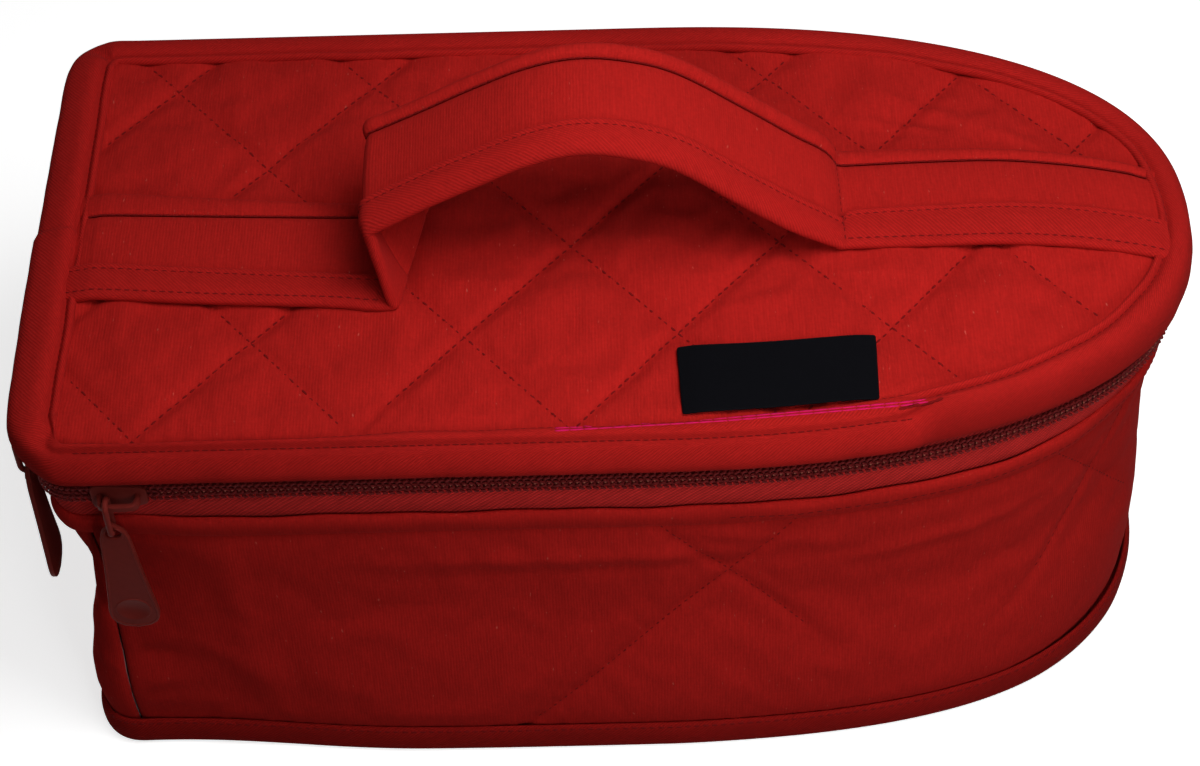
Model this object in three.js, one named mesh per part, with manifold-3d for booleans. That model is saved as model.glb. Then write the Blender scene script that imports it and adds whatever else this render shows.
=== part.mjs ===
// A soft, quilted storage case for a clothes iron.
//
// The plan is the plan of an iron: a straight heel with rounded corners, two
// parallel sides and a rounded nose. A padded wall stands on a boarded base,
// a padded lid folds back on the cloth of the heel, a coil zip with two
// sliders runs round the sides and the nose, and a sewn strap on the lid
// rises into a carrying handle.
//
// Millimetres, +Z up, +X to the nose, -Y to the near side. The origin is on
// the floor under the middle of the case.

import * as THREE from 'three';
import { mergeVertices } from 'three/addons/utils/BufferGeometryUtils.js';
import Module from 'manifold-3d';

const wasm = await Module();
wasm.setup();

// Plan of the case.
const CASE_LENGTH = 340;
const CASE_WIDTH = 170;
const LID_TOP = 150;
const HEEL_CORNER_RADIUS = 14;
const SIDE_LENGTH = 177;
const NOSE_POWER = 2.35;

// Layers of the sewn walls, and the gap kept between neighbours.
const FIT = 0.3;
const CLOTH = 1;
const WALL_WADDING = 4;
const LINING = 0.8;
const WALL_SET_BACK = 2;

// Base, from the floor up.
const BASE_CLOTH = 1.3;
const BASE_WADDING = 3;
const BASE_BOARD = 2;
const BASE_BINDING_HEIGHT = 12;
const BASE_BINDING_FOOT = 6;
const BINDING_ROUND = 1.2;

// Zip, measured from the floor at the line where its two coils meet.
const ZIP_LINE = 128.8;
const COIL_GAP = 1.6;
const COIL_HEIGHT = 2.6;
const COIL_DEPTH = 2.6;
const TAPE = 0.8;
const TAPE_SEWN_IN = 4;
const TAPE_SHOWN = 9;
const ZIP_END_REACH = 35;
const ZIP_STOP_LENGTH = 2;

// Hem that turns over the top of the wall.
const HEM_HEIGHT = 6;
const HEM_OVER_TOP = 2.2;

// Lid and its rolled binding.
const LID_WADDING = 4.2;
const LID_BINDING_DROP = 14;
const LID_BINDING_THICK = 3;
const LID_RIM_WIDTH = 5.4;
const LID_RIM_HEIGHT = 2.8;

// Strap and handle. The strap lifts off the lid between the handle's two feet.
const STRAP_WIDTH = 41;
const STRAP_THICK = 2.4;
const STRAP_NEAR_BINDING = 11;
const STRAP_FAR_BINDING = 6;
const STRAP_BINDING_EXTRA = 0.6;
const STRAP_END_GAP = 0.4;
const STRAP_ASIDE_AT_HEEL = -12;
const STRAP_ASIDE_AT_NOSE = 3;
const HANDLE_RISE = 55;
const HANDLE_HEEL_FOOT = -72;
const HANDLE_NOSE_FOOT = 72;

// Side view of the handle: share of the way from foot to foot, share of the rise.
const HANDLE_SHAPE = [
  [0.028, 0],
  [0.056, 0.035],
  [0.058, 0.115],
  [0.035, 0.295],
  [0.01, 0.49],
  [0.008, 0.605],
  [0.042, 0.69],
  [0.118, 0.767],
  [0.222, 0.885],
  [0.326, 0.975],
  [0.424, 1],
  [0.521, 0.975],
  [0.625, 0.85],
  [0.764, 0.5],
  [0.896, 0.15],
  [0.945, 0.035],
  [1, 0],
];

// Woven label sewn to the lid, placed by its middle.
const LABEL_LENGTH = 57;
const LABEL_WIDTH = 24.5;
const LABEL_THICK = 0.8;
const LABEL_ALONG = 44.5;
const LABEL_FROM_NEAR_EDGE = 22;
const LABEL_TURN = THREE.MathUtils.degToRad(3.3);

// Zip sliders and their pulls. Both are parked head to head by the near corner
// of the heel, each at its own distance from that corner.
const SLIDER_LENGTH = 16;
const SLIDER_HEIGHT = 10;
const SLIDER_TAIL_HEIGHT = 8;
const SLIDER_CORNER = 2;
const SLIDER_PLATE = 1.2;
const SLIDER_WEB_LENGTH = 5;
const SLIDER_WEB = 1;
const NEAR_SLIDER_FROM_HEEL = 27;
const HEEL_SLIDER_FROM_SIDE = 23;
const BRIDGE_REACH = 4.6;
const BRIDGE_BAR = 1.6;
const BRIDGE_HEIGHT = 2.4;
const BRIDGE_LENGTH = 12.4;
const BRIDGE_ROUND = 2;
const LINK_WIRE = 1.8;
const LINK_LENGTH = 15;
const LINK_CLEARANCE = 0.6;
const PULL_THICK = 1.6;
const PULL_LENGTH = 50;
const PULL_WIDTH = 15;
const PULL_NECK_WIDTH = 8.6;
const PULL_EYE_RADIUS = 2.3;
const PULL_RING_WALL = 2;
const PULL_FOOT_ROUND = 9.5;
const PULL_THUMB_RADIUS = 4.6;
const PULL_THUMB_DEPTH = 0.45;

// Steps along curves, and how far a cutting shape reaches past what it cuts.
const CORNER_STEPS = 5;
const NOSE_STEPS = 26;
const RIM_STEPS = 5;
const STRAP_STEPS = 3;
const BEND_STEPS = 4;
const ROUND_STEPS = 20;
const WIRE_STEPS = 8;
const LINK_STEPS = 16;
const OVERSHOOT = 1;

// Distances in from the outermost edge of the case, layer by layer.
const wallOuterIn = WALL_SET_BACK;
const wallOuterBack = wallOuterIn + CLOTH;
const waddingIn = wallOuterBack + FIT;
const waddingBack = waddingIn + WALL_WADDING;
const liningIn = waddingBack + FIT;
const liningBack = liningIn + LINING;
const baseInset = liningBack + FIT;
const tapeIn = wallOuterBack + FIT;
const tapeBack = tapeIn + TAPE;
const coilIn = (tapeIn + tapeBack) / 2 - COIL_DEPTH / 2;
const coilBack = coilIn + COIL_DEPTH;

// Heights.
const lowerCoilTop = ZIP_LINE - COIL_GAP / 2;
const lowerCoilFoot = lowerCoilTop - COIL_HEIGHT;
const upperCoilFoot = ZIP_LINE + COIL_GAP / 2;
const upperCoilTop = upperCoilFoot + COIL_HEIGHT;
const hemTop = lowerCoilFoot - TAPE_SHOWN;
const wallTop = hemTop - HEM_OVER_TOP - FIT;
const tapeFoot = wallTop - TAPE_SEWN_IN;
const wallFoot = BASE_CLOTH + FIT;
const bindingFoot = LID_TOP - LID_BINDING_DROP;
const lidClothFoot = LID_TOP - CLOTH;
const lidWaddingTop = lidClothFoot - FIT;
const lidWaddingFoot = lidWaddingTop - LID_WADDING;
const lidLiningTop = lidWaddingFoot - FIT;
const lidLiningFoot = lidLiningTop - LINING;
const rimFoot = LID_TOP + FIT;
const rimTop = LID_TOP + LID_RIM_HEIGHT;
const strapMiddle = LID_TOP + FIT + (STRAP_THICK + STRAP_BINDING_EXTRA) / 2;

// The link in its slider's frame: the middles of its wire behind and in front of
// the bridge's bar, at its top and at its foot. It hangs by the bar's front end.
const linkBehind = -(BRIDGE_REACH - BRIDGE_BAR) / 2;
const linkInFront = -BRIDGE_REACH - LINK_CLEARANCE - LINK_WIRE / 2;
const linkMiddle = (linkBehind + linkInFront) / 2;
const linkTop = BRIDGE_HEIGHT / 2 + 2 * FIT + LINK_WIRE / 2;
const linkFoot = linkTop - (LINK_LENGTH - LINK_WIRE);
const linkAlong = BRIDGE_LENGTH / 2 - BRIDGE_BAR - 2 * FIT - LINK_WIRE / 2;

// One point of the plan outline, with the direction that faces out of the case.
function station(x, y, nx, ny) {
  const normal = new THREE.Vector2(nx, ny).normalize();
  return { point: new THREE.Vector2(x, y), normal };
}

// The near half of the outline, from the zip end on the heel to the nose tip.
function nearHalfOfPlan() {
  const heelX = -CASE_LENGTH / 2;
  const sideY = -CASE_WIDTH / 2;
  const radius = HEEL_CORNER_RADIUS;
  const centreX = heelX + radius;
  const centreY = sideY + radius;
  const noseX = heelX + SIDE_LENGTH;
  const noseReach = CASE_LENGTH / 2 - noseX;
  const stations = [station(heelX, -ZIP_END_REACH, -1, 0)];
  for (let i = 0; i <= CORNER_STEPS; i += 1) {
    const turn = (i / CORNER_STEPS) * (Math.PI / 2);
    const nx = -Math.cos(turn);
    const ny = -Math.sin(turn);
    stations.push(station(centreX + radius * nx, centreY + radius * ny, nx, ny));
  }
  const half = NOSE_STEPS / 2;
  for (let i = 0; i <= half; i += 1) {
    const turn = (i / half) * (Math.PI / 2);
    const along = Math.sin(turn) ** (2 / NOSE_POWER);
    const across = Math.cos(turn) ** (2 / NOSE_POWER);
    const nx = along ** (NOSE_POWER - 1) / noseReach;
    const ny = -(across ** (NOSE_POWER - 1)) / -sideY;
    stations.push(station(noseX + noseReach * along, sideY * across, nx, ny));
  }
  return stations;
}

// The whole outline, from the near zip end on the heel round to the far one.
function planStations() {
  const near = nearHalfOfPlan();
  const far = near.slice(0, -1).reverse().map(
    (s) => station(s.point.x, -s.point.y, s.normal.x, -s.normal.y),
  );
  return [...near, ...far];
}

const wholePlan = planStations();
const zipPlan = wholePlan.slice(1, -1);
const gussetPlan = wholePlan.slice(1 + CORNER_STEPS, -(1 + CORNER_STEPS));

function inFrom(s, inset) {
  return s.point.clone().addScaledVector(s.normal, -inset);
}

// Keeps only merged positions, and turns the faces to point outwards.
function closed(geometry) {
  const plain = geometry.index ? geometry.toNonIndexed() : geometry.clone();
  plain.deleteAttribute('normal');
  plain.deleteAttribute('uv');
  const merged = mergeVertices(plain, 1e-4);
  const position = merged.getAttribute('position');
  const index = merged.index.array;
  const a = new THREE.Vector3();
  const b = new THREE.Vector3();
  const c = new THREE.Vector3();
  const kept = [];
  let volume = 0;
  for (let i = 0; i < index.length; i += 3) {
    const [p, q, r] = [index[i], index[i + 1], index[i + 2]];
    if (p !== q && q !== r && r !== p) {
      kept.push(p, q, r);
      a.fromBufferAttribute(position, p);
      b.fromBufferAttribute(position, q);
      c.fromBufferAttribute(position, r);
      volume += a.dot(b.cross(c)) / 6;
    }
  }
  merged.setIndex(volume < 0 ? kept.reverse() : kept);
  return merged;
}

function toSolid(geometry) {
  const tidy = closed(geometry);
  return new wasm.Manifold(new wasm.Mesh({
    numProp: 3,
    vertProperties: new Float32Array(tidy.getAttribute('position').array),
    triVerts: new Uint32Array(tidy.index.array),
  }));
}

function fromSolid(solid) {
  const mesh = solid.getMesh();
  const geometry = new THREE.BufferGeometry();
  geometry.setAttribute('position', new THREE.BufferAttribute(mesh.vertProperties, 3));
  geometry.setIndex(new THREE.BufferAttribute(mesh.triVerts, 1));
  return geometry;
}

function joined(...geometries) {
  const solids = geometries.map(toSolid);
  return fromSolid(solids.reduce((sum, next) => sum.add(next)));
}

function cutFrom(geometry, ...cutters) {
  const solids = cutters.map(toSolid);
  return fromSolid(solids.reduce((rest, next) => rest.subtract(next), toSolid(geometry)));
}

function keptInside(geometry, limit) {
  return fromSolid(toSolid(geometry).intersect(toSolid(limit)));
}

// A flat layer with the plan of the case, drawn in by an inset.
function planLayer(inset, foot, top) {
  const shape = new THREE.Shape(wholePlan.map((s) => inFrom(s, inset)));
  const geometry = new THREE.ExtrudeGeometry(shape, { depth: top - foot, bevelEnabled: false });
  geometry.translate(0, 0, foot);
  return geometry;
}

// A band along an open stretch of the outline. Its section is a list of
// [inset, height] points, drawn straight and then bent along the stations.
function openBand(stations, section) {
  const corners = section.map(([inset, height]) => new THREE.Vector2(inset, height));
  const count = stations.length - 1;
  const geometry = new THREE.ExtrudeGeometry(
    new THREE.Shape(corners),
    { depth: count, steps: count, bevelEnabled: false },
  );
  const position = geometry.getAttribute('position');
  for (let i = 0; i < position.count; i += 1) {
    const place = inFrom(stations[Math.round(position.getZ(i))], position.getX(i));
    position.setXYZ(i, place.x, place.y, position.getY(i));
  }
  return geometry;
}

// A band right round the outline: a turned ring, bent from its circle onto the plan.
function closedBand(section) {
  const profile = [...section, section[0]].map(
    ([inset, height]) => new THREE.Vector2(CASE_LENGTH - inset, height),
  );
  const count = wholePlan.length;
  const geometry = new THREE.LatheGeometry(profile, count);
  const position = geometry.getAttribute('position');
  for (let i = 0; i < position.count; i += 1) {
    const ring = Math.floor(i / profile.length) % count;
    const [inset, height] = section[(i % profile.length) % section.length];
    const place = inFrom(wholePlan[ring], inset);
    position.setXYZ(i, place.x, place.y, height);
  }
  return geometry;
}

function rectangle(front, back, foot, top) {
  return [[front, foot], [back, foot], [back, top], [front, top]];
}

// A box between two corners.
function block(low, high) {
  const size = high.map((value, axis) => value - low[axis]);
  const geometry = new THREE.BoxGeometry(...size);
  geometry.translate(...low.map((value, axis) => value + size[axis] / 2));
  return geometry;
}

function finish(color, roughness, metalness = 0) {
  return new THREE.MeshStandardMaterial({ color, roughness, metalness });
}

const redCotton = () => finish(0xa81e1e, 0.85);
const redTwill = () => finish(0xb02426, 0.8);
const whiteWadding = () => finish(0xe8e4da, 0.95);
const greyLining = () => finish(0x9a9c9e, 0.55);
const greyBoard = () => finish(0x8d8577, 0.8);
const maroonTape = () => finish(0x6e1418, 0.8);
const maroonCoil = () => finish(0x5c1216, 0.5);
const paintedMetal = () => finish(0x5a1f1c, 0.45, 0.5);
const blackWeave = () => finish(0x0c0b0c, 0.7);

const ironCase = new THREE.Group();

function add(name, geometry, material) {
  const tidy = closed(geometry);
  tidy.computeVertexNormals();
  const mesh = new THREE.Mesh(tidy, material);
  mesh.name = name;
  ironCase.add(mesh);
}

// Base: outer cloth, wadding, stiff board and lining, bound round its edge.
function addBase() {
  const footBack = WALL_SET_BACK + BASE_BINDING_FOOT;
  const waddingFoot = BASE_CLOTH + FIT;
  const waddingTop = waddingFoot + BASE_WADDING;
  const boardFoot = waddingTop + FIT;
  const boardTop = boardFoot + BASE_BOARD;
  const liningFoot = boardTop + FIT;
  const bindingBack = WALL_SET_BACK - FIT;
  add('base_outer', planLayer(footBack + FIT, 0, BASE_CLOTH), redCotton());
  add('base_wadding', planLayer(baseInset, waddingFoot, waddingTop), whiteWadding());
  add('base_board', planLayer(baseInset, boardFoot, boardTop), greyBoard());
  add('base_lining', planLayer(baseInset, liningFoot, liningFoot + LINING), greyLining());
  add('base_binding', closedBand([
    [BINDING_ROUND, 0],
    [0, BINDING_ROUND],
    [0, BASE_BINDING_HEIGHT - BINDING_ROUND],
    [BINDING_ROUND, BASE_BINDING_HEIGHT],
    [bindingBack, BASE_BINDING_HEIGHT],
    [bindingBack, BASE_CLOTH],
    [footBack, BASE_CLOTH],
    [footBack, 0],
  ]), redTwill());
}

// Side and nose wall, in three layers, and the heel wall that wraps the corners.
function addWalls() {
  const layers = [
    ['outer', wallOuterIn, wallOuterBack, wallTop, redCotton],
    ['wadding', waddingIn, waddingBack, tapeFoot - FIT, whiteWadding],
    ['lining', liningIn, liningBack, wallTop, greyLining],
  ];
  const seamX = -CASE_LENGTH / 2 + HEEL_CORNER_RADIUS;
  const keepBehindSeam = block(
    [seamX - FIT, -CASE_WIDTH, 0],
    [CASE_LENGTH, CASE_WIDTH, LID_TOP],
  );
  for (const [layer, front, back, top, material] of layers) {
    const section = rectangle(front, back, wallFoot, top);
    add(`gusset_${layer}`, openBand(gussetPlan, section), material());
    add(`heel_${layer}`, cutFrom(closedBand(section), keepBehindSeam), material());
  }
}

// Hem, tapes and coils of the zip, and the cloth hinge between the zip ends.
function addZip() {
  const hemIn = wallOuterIn - FIT - CLOTH / 2;
  add('gusset_hem', openBand(wholePlan, [
    [hemIn, hemTop - HEM_HEIGHT],
    [wallOuterIn - FIT, hemTop - HEM_HEIGHT],
    [wallOuterIn - FIT, wallTop + FIT],
    [wallOuterBack, wallTop + FIT],
    [wallOuterBack, hemTop],
    [hemIn, hemTop],
  ]), redCotton());
  const rows = [
    ['zip_tape_lower', wholePlan, tapeIn, tapeBack, tapeFoot, lowerCoilFoot - FIT, maroonTape],
    ['zip_tape_upper', zipPlan, tapeIn, tapeBack, upperCoilTop + FIT, lidLiningFoot - FIT, maroonTape],
    ['zip_coil_lower', zipPlan, coilIn, coilBack, lowerCoilFoot, lowerCoilTop, maroonCoil],
    ['zip_coil_upper', zipPlan, coilIn, coilBack, upperCoilFoot, upperCoilTop, maroonCoil],
  ];
  for (const [name, plan, front, back, foot, top, material] of rows) {
    add(name, openBand(plan, rectangle(front, back, foot, top)), material());
  }
  const heelX = -CASE_LENGTH / 2;
  const cornerY = CASE_WIDTH / 2 - HEEL_CORNER_RADIUS - FIT;
  const stopY = ZIP_END_REACH + ZIP_STOP_LENGTH;
  for (const [side, sign] of [['near', -1], ['far', 1]]) {
    const run = (front, back, reach, foot, top) => {
      const [from, to] = [sign * ZIP_END_REACH, sign * reach].sort((p, q) => p - q);
      return block([heelX + front, from, foot], [heelX + back, to, top]);
    };
    add(`zip_end_${side}`, joined(
      run(coilIn, coilBack, cornerY, lowerCoilFoot, lowerCoilTop),
      run(coilIn, coilBack, cornerY, upperCoilFoot, upperCoilTop),
      run(coilIn, coilBack, stopY, lowerCoilFoot, upperCoilTop),
      run(tapeIn, tapeBack, cornerY, upperCoilFoot, bindingFoot - FIT),
    ), maroonCoil());
  }
  add('heel_hinge', block(
    [heelX + wallOuterIn, -(ZIP_END_REACH - FIT), wallTop + FIT],
    [heelX + tapeBack, ZIP_END_REACH - FIT, bindingFoot - FIT],
  ), redCotton());
}

// Lid: cloth, wadding and lining inside a rolled binding.
function addLid() {
  const panelInset = LID_BINDING_THICK + FIT;
  add('lid_outer', planLayer(panelInset, lidClothFoot, LID_TOP), redCotton());
  add('lid_wadding', planLayer(panelInset, lidWaddingFoot, lidWaddingTop), whiteWadding());
  add('lid_lining', planLayer(panelInset, lidLiningFoot, lidLiningTop), greyLining());
  add('lid_binding', closedBand([
    [BINDING_ROUND, bindingFoot],
    [0, bindingFoot + BINDING_ROUND],
    ...rolledRim(),
    [LID_BINDING_THICK, rimFoot],
    [LID_BINDING_THICK, bindingFoot],
  ]), redTwill());
  const label = new THREE.BoxGeometry(LABEL_LENGTH, LABEL_WIDTH, LABEL_THICK);
  label.rotateZ(LABEL_TURN);
  label.translate(
    LABEL_ALONG,
    -CASE_WIDTH / 2 + LABEL_FROM_NEAR_EDGE,
    LID_TOP + FIT + LABEL_THICK / 2,
  );
  add('label', label, blackWeave());
}

// Section of the roll that the lid's binding makes over the edge of the panel.
function rolledRim() {
  const half = LID_RIM_WIDTH / 2;
  return Array.from({ length: RIM_STEPS + 1 }, (unused, i) => {
    const turn = (i / RIM_STEPS) * Math.PI;
    return [half - half * Math.cos(turn), rimFoot + (rimTop - rimFoot) * Math.sin(turn)];
  });
}

// Middle line of the strap in side view: flat on the lid at both ends, with the
// handle between its feet.
function strapLine() {
  const end = CASE_LENGTH / 2;
  const span = HANDLE_NOSE_FOOT - HANDLE_HEEL_FOOT;
  const rise = LID_TOP + HANDLE_RISE - strapMiddle;
  const line = new THREE.Path();
  line.moveTo(-end, strapMiddle);
  line.lineTo(HANDLE_HEEL_FOOT, strapMiddle);
  line.splineThru(HANDLE_SHAPE.map(
    ([along, up]) => new THREE.Vector2(HANDLE_HEEL_FOOT + span * along, strapMiddle + rise * up),
  ));
  line.lineTo(end, strapMiddle);
  return line.getPoints(STRAP_STEPS);
}

// The strap's side view, as wide as the case.
function strapSheet(thick) {
  const points = strapLine();
  const sides = points.map((point, i) => {
    const before = points[Math.max(i - 1, 0)];
    const after = points[Math.min(i + 1, points.length - 1)];
    const along = after.clone().sub(before).normalize();
    const across = new THREE.Vector2(-along.y, along.x).multiplyScalar(thick / 2);
    return [point.clone().add(across), point.clone().sub(across)];
  });
  const outline = [...sides.map((s) => s[0]), ...sides.map((s) => s[1]).reverse()];
  const geometry = new THREE.ExtrudeGeometry(
    new THREE.Shape(outline),
    { depth: CASE_WIDTH, bevelEnabled: false },
  );
  geometry.rotateX(Math.PI / 2);
  geometry.translate(0, CASE_WIDTH / 2, 0);
  return geometry;
}

// One strip of the strap, between two distances from its middle line. Seen from
// above it runs aslant between the feet, and it ends inside the lid's rim.
function strapStrip(from, to, thick) {
  const end = CASE_LENGTH / 2;
  const reach = 2 * HANDLE_RISE;
  const edge = (offset) => [
    new THREE.Vector2(-end, STRAP_ASIDE_AT_HEEL + offset),
    new THREE.Vector2(HANDLE_HEEL_FOOT, STRAP_ASIDE_AT_HEEL + offset),
    new THREE.Vector2(HANDLE_NOSE_FOOT, STRAP_ASIDE_AT_NOSE + offset),
    new THREE.Vector2(end, STRAP_ASIDE_AT_NOSE + offset),
  ];
  const plan = new THREE.ExtrudeGeometry(
    new THREE.Shape([...edge(from), ...edge(to).reverse()]),
    { depth: reach, bevelEnabled: false },
  );
  plan.translate(0, 0, LID_TOP);
  const insideRim = planLayer(LID_RIM_WIDTH + STRAP_END_GAP, LID_TOP, LID_TOP + reach);
  return keptInside(strapSheet(thick), keptInside(plan, insideRim));
}

function addStrap() {
  const half = STRAP_WIDTH / 2;
  const bindingThick = STRAP_THICK + STRAP_BINDING_EXTRA;
  const nearSeam = -half + STRAP_NEAR_BINDING;
  const farSeam = half - STRAP_FAR_BINDING;
  add('handle_strap', strapStrip(nearSeam + FIT, farSeam - FIT, STRAP_THICK), redCotton());
  add('strap_binding_near', strapStrip(-half, nearSeam, bindingThick), redTwill());
  add('strap_binding_far', strapStrip(farSeam, half, bindingThick), redTwill());
}

// Slider body in its own frame: +x along the zip, -y out of the case, z up.
// The outer plate's face is at y = 0, and front says which end has the web.
function sliderBody(front) {
  const half = SLIDER_LENGTH / 2;
  const channel = coilBack - coilIn + 2 * FIT;
  const side = SLIDER_HEIGHT / 2;
  const tail = SLIDER_TAIL_HEIGHT / 2;
  const plate = new THREE.Shape([
    new THREE.Vector2(front * half, SLIDER_CORNER - side),
    new THREE.Vector2(front * half, side - SLIDER_CORNER),
    new THREE.Vector2(front * (half - SLIDER_CORNER), side),
    new THREE.Vector2(0, side),
    new THREE.Vector2(-front * half, tail),
    new THREE.Vector2(-front * half, -tail),
    new THREE.Vector2(0, -side),
    new THREE.Vector2(front * (half - SLIDER_CORNER), -side),
  ]);
  const outer = new THREE.ExtrudeGeometry(plate, { depth: SLIDER_PLATE, bevelEnabled: false });
  outer.rotateX(Math.PI / 2);
  outer.translate(0, SLIDER_PLATE, 0);
  const inner = outer.clone();
  inner.translate(0, SLIDER_PLATE + channel, 0);
  const webEnds = [front * half, front * (half - SLIDER_WEB_LENGTH)].sort((p, q) => p - q);
  const platesMiddle = SLIDER_PLATE / 2;
  const web = block(
    [webEnds[0], platesMiddle, -SLIDER_WEB / 2],
    [webEnds[1], platesMiddle + SLIDER_PLATE + channel, SLIDER_WEB / 2],
  );
  return joined(outer, inner, web, sliderBridge());
}

// The bridge over the outer plate that carries the pull.
function sliderBridge() {
  const half = BRIDGE_LENGTH / 2;
  const post = half - BRIDGE_BAR;
  const round = BRIDGE_ROUND;
  const arch = new THREE.Shape();
  arch.moveTo(-half, SLIDER_PLATE / 2);
  arch.lineTo(half, SLIDER_PLATE / 2);
  arch.lineTo(half, round - BRIDGE_REACH);
  arch.quadraticCurveTo(half, -BRIDGE_REACH, half - round, -BRIDGE_REACH);
  arch.lineTo(round - half, -BRIDGE_REACH);
  arch.quadraticCurveTo(-half, -BRIDGE_REACH, -half, round - BRIDGE_REACH);
  arch.holes.push(new THREE.Path([
    new THREE.Vector2(-post, 0),
    new THREE.Vector2(-post, BRIDGE_BAR - BRIDGE_REACH),
    new THREE.Vector2(post, BRIDGE_BAR - BRIDGE_REACH),
    new THREE.Vector2(post, 0),
  ]));
  const geometry = new THREE.ExtrudeGeometry(
    arch,
    { depth: BRIDGE_HEIGHT, bevelEnabled: false, curveSegments: BEND_STEPS },
  );
  geometry.translate(0, 0, -BRIDGE_HEIGHT / 2);
  return geometry;
}

// A disc with its axis along y, between two y values.
function disc(radius, x, z, low, high) {
  const geometry = new THREE.CylinderGeometry(radius, radius, high - low, ROUND_STEPS);
  geometry.translate(x, (low + high) / 2, z);
  return geometry;
}

// The wire link between a slider and its pull: a ring round the bridge's bar, drawn
// out to an oval by parting its upper and its lower half.
function sliderLink(front) {
  const radius = (linkBehind - linkInFront) / 2;
  const parting = (linkTop - linkFoot) / 2 - radius;
  const geometry = new THREE.TorusGeometry(radius, LINK_WIRE / 2, WIRE_STEPS, LINK_STEPS);
  geometry.rotateZ(Math.PI / LINK_STEPS);
  geometry.rotateY(Math.PI / 2);
  geometry.rotateX(Math.PI / 2);
  const position = geometry.getAttribute('position');
  for (let i = 0; i < position.count; i += 1) {
    const z = position.getZ(i);
    position.setZ(i, z + Math.sign(z) * parting);
  }
  geometry.translate(front * linkAlong, linkMiddle, (linkTop + linkFoot) / 2);
  return geometry;
}

// Pull in the slider's frame: it hangs by its eye on the foot of the link.
function sliderPull(front) {
  const eyeX = front * linkAlong;
  const ring = PULL_EYE_RADIUS + PULL_RING_WALL;
  const foot = ring - PULL_LENGTH;
  const roundTop = foot + PULL_FOOT_ROUND;
  const half = PULL_WIDTH / 2;
  const neck = PULL_NECK_WIDTH / 2;
  const neckTurn = Math.acos(neck / ring);
  const tab = new THREE.Shape();
  tab.moveTo(-neck, 0);
  tab.lineTo(-half, roundTop);
  tab.quadraticCurveTo(-half, foot, 0, foot);
  tab.quadraticCurveTo(half, foot, half, roundTop);
  tab.lineTo(neck, 0);
  tab.absarc(0, 0, ring, neckTurn, Math.PI - neckTurn, false);
  const plate = new THREE.ExtrudeGeometry(
    tab,
    { depth: PULL_THICK, bevelEnabled: false, curveSegments: 2 * BEND_STEPS },
  );
  plate.rotateX(Math.PI / 2);
  const low = linkMiddle - PULL_THICK / 2;
  const high = linkMiddle + PULL_THICK / 2;
  plate.translate(eyeX, high, 0);
  const geometry = cutFrom(
    plate,
    disc(PULL_EYE_RADIUS, eyeX, 0, low - OVERSHOOT, high + OVERSHOOT),
    disc(PULL_THUMB_RADIUS, eyeX, roundTop, low - OVERSHOOT, low + PULL_THUMB_DEPTH),
  );
  geometry.translate(0, 0, linkFoot + LINK_WIRE / 2 + 2 * FIT - PULL_EYE_RADIUS);
  return geometry;
}

// Turns a slider's piece to face out of the near side or out of the heel.
function addSliders() {
  const faceInset = coilIn - FIT - SLIDER_PLATE;
  const heelX = -CASE_LENGTH / 2;
  const sideY = -CASE_WIDTH / 2;
  const places = [
    ['near', -1, [heelX + NEAR_SLIDER_FROM_HEEL, sideY + faceInset, ZIP_LINE], 0],
    ['heel', 1, [heelX + faceInset, sideY + HEEL_SLIDER_FROM_SIDE, ZIP_LINE], -Math.PI / 2],
  ];
  for (const [side, front, place, turn] of places) {
    for (const [piece, shape] of [['slider', sliderBody], ['link', sliderLink], ['pull', sliderPull]]) {
      const geometry = shape(front);
      geometry.rotateZ(turn);
      geometry.translate(...place);
      add(`${side}_${piece}`, geometry, paintedMetal());
    }
  }
}

addBase();
addWalls();
addZip();
addLid();
addStrap();
addSliders();

export default ironCase;
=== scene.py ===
# %% [markdown]
# # A quilted cloth case for a clothes iron
# The real case is sewn from red cotton over wadding. Its lid folds back on the heel,
# a coil zip runs round the other three sides, and a strap rises into a handle.
# The measured solids come in first and never move. Every piece made below takes its
# place from them, so nothing has to be fitted by eye.

# %% Load the measured solids
import math
import bmesh
import bpy
import numpy as np
from mathutils import Matrix, Vector
from mathutils.bvhtree import BVHTree


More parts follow.
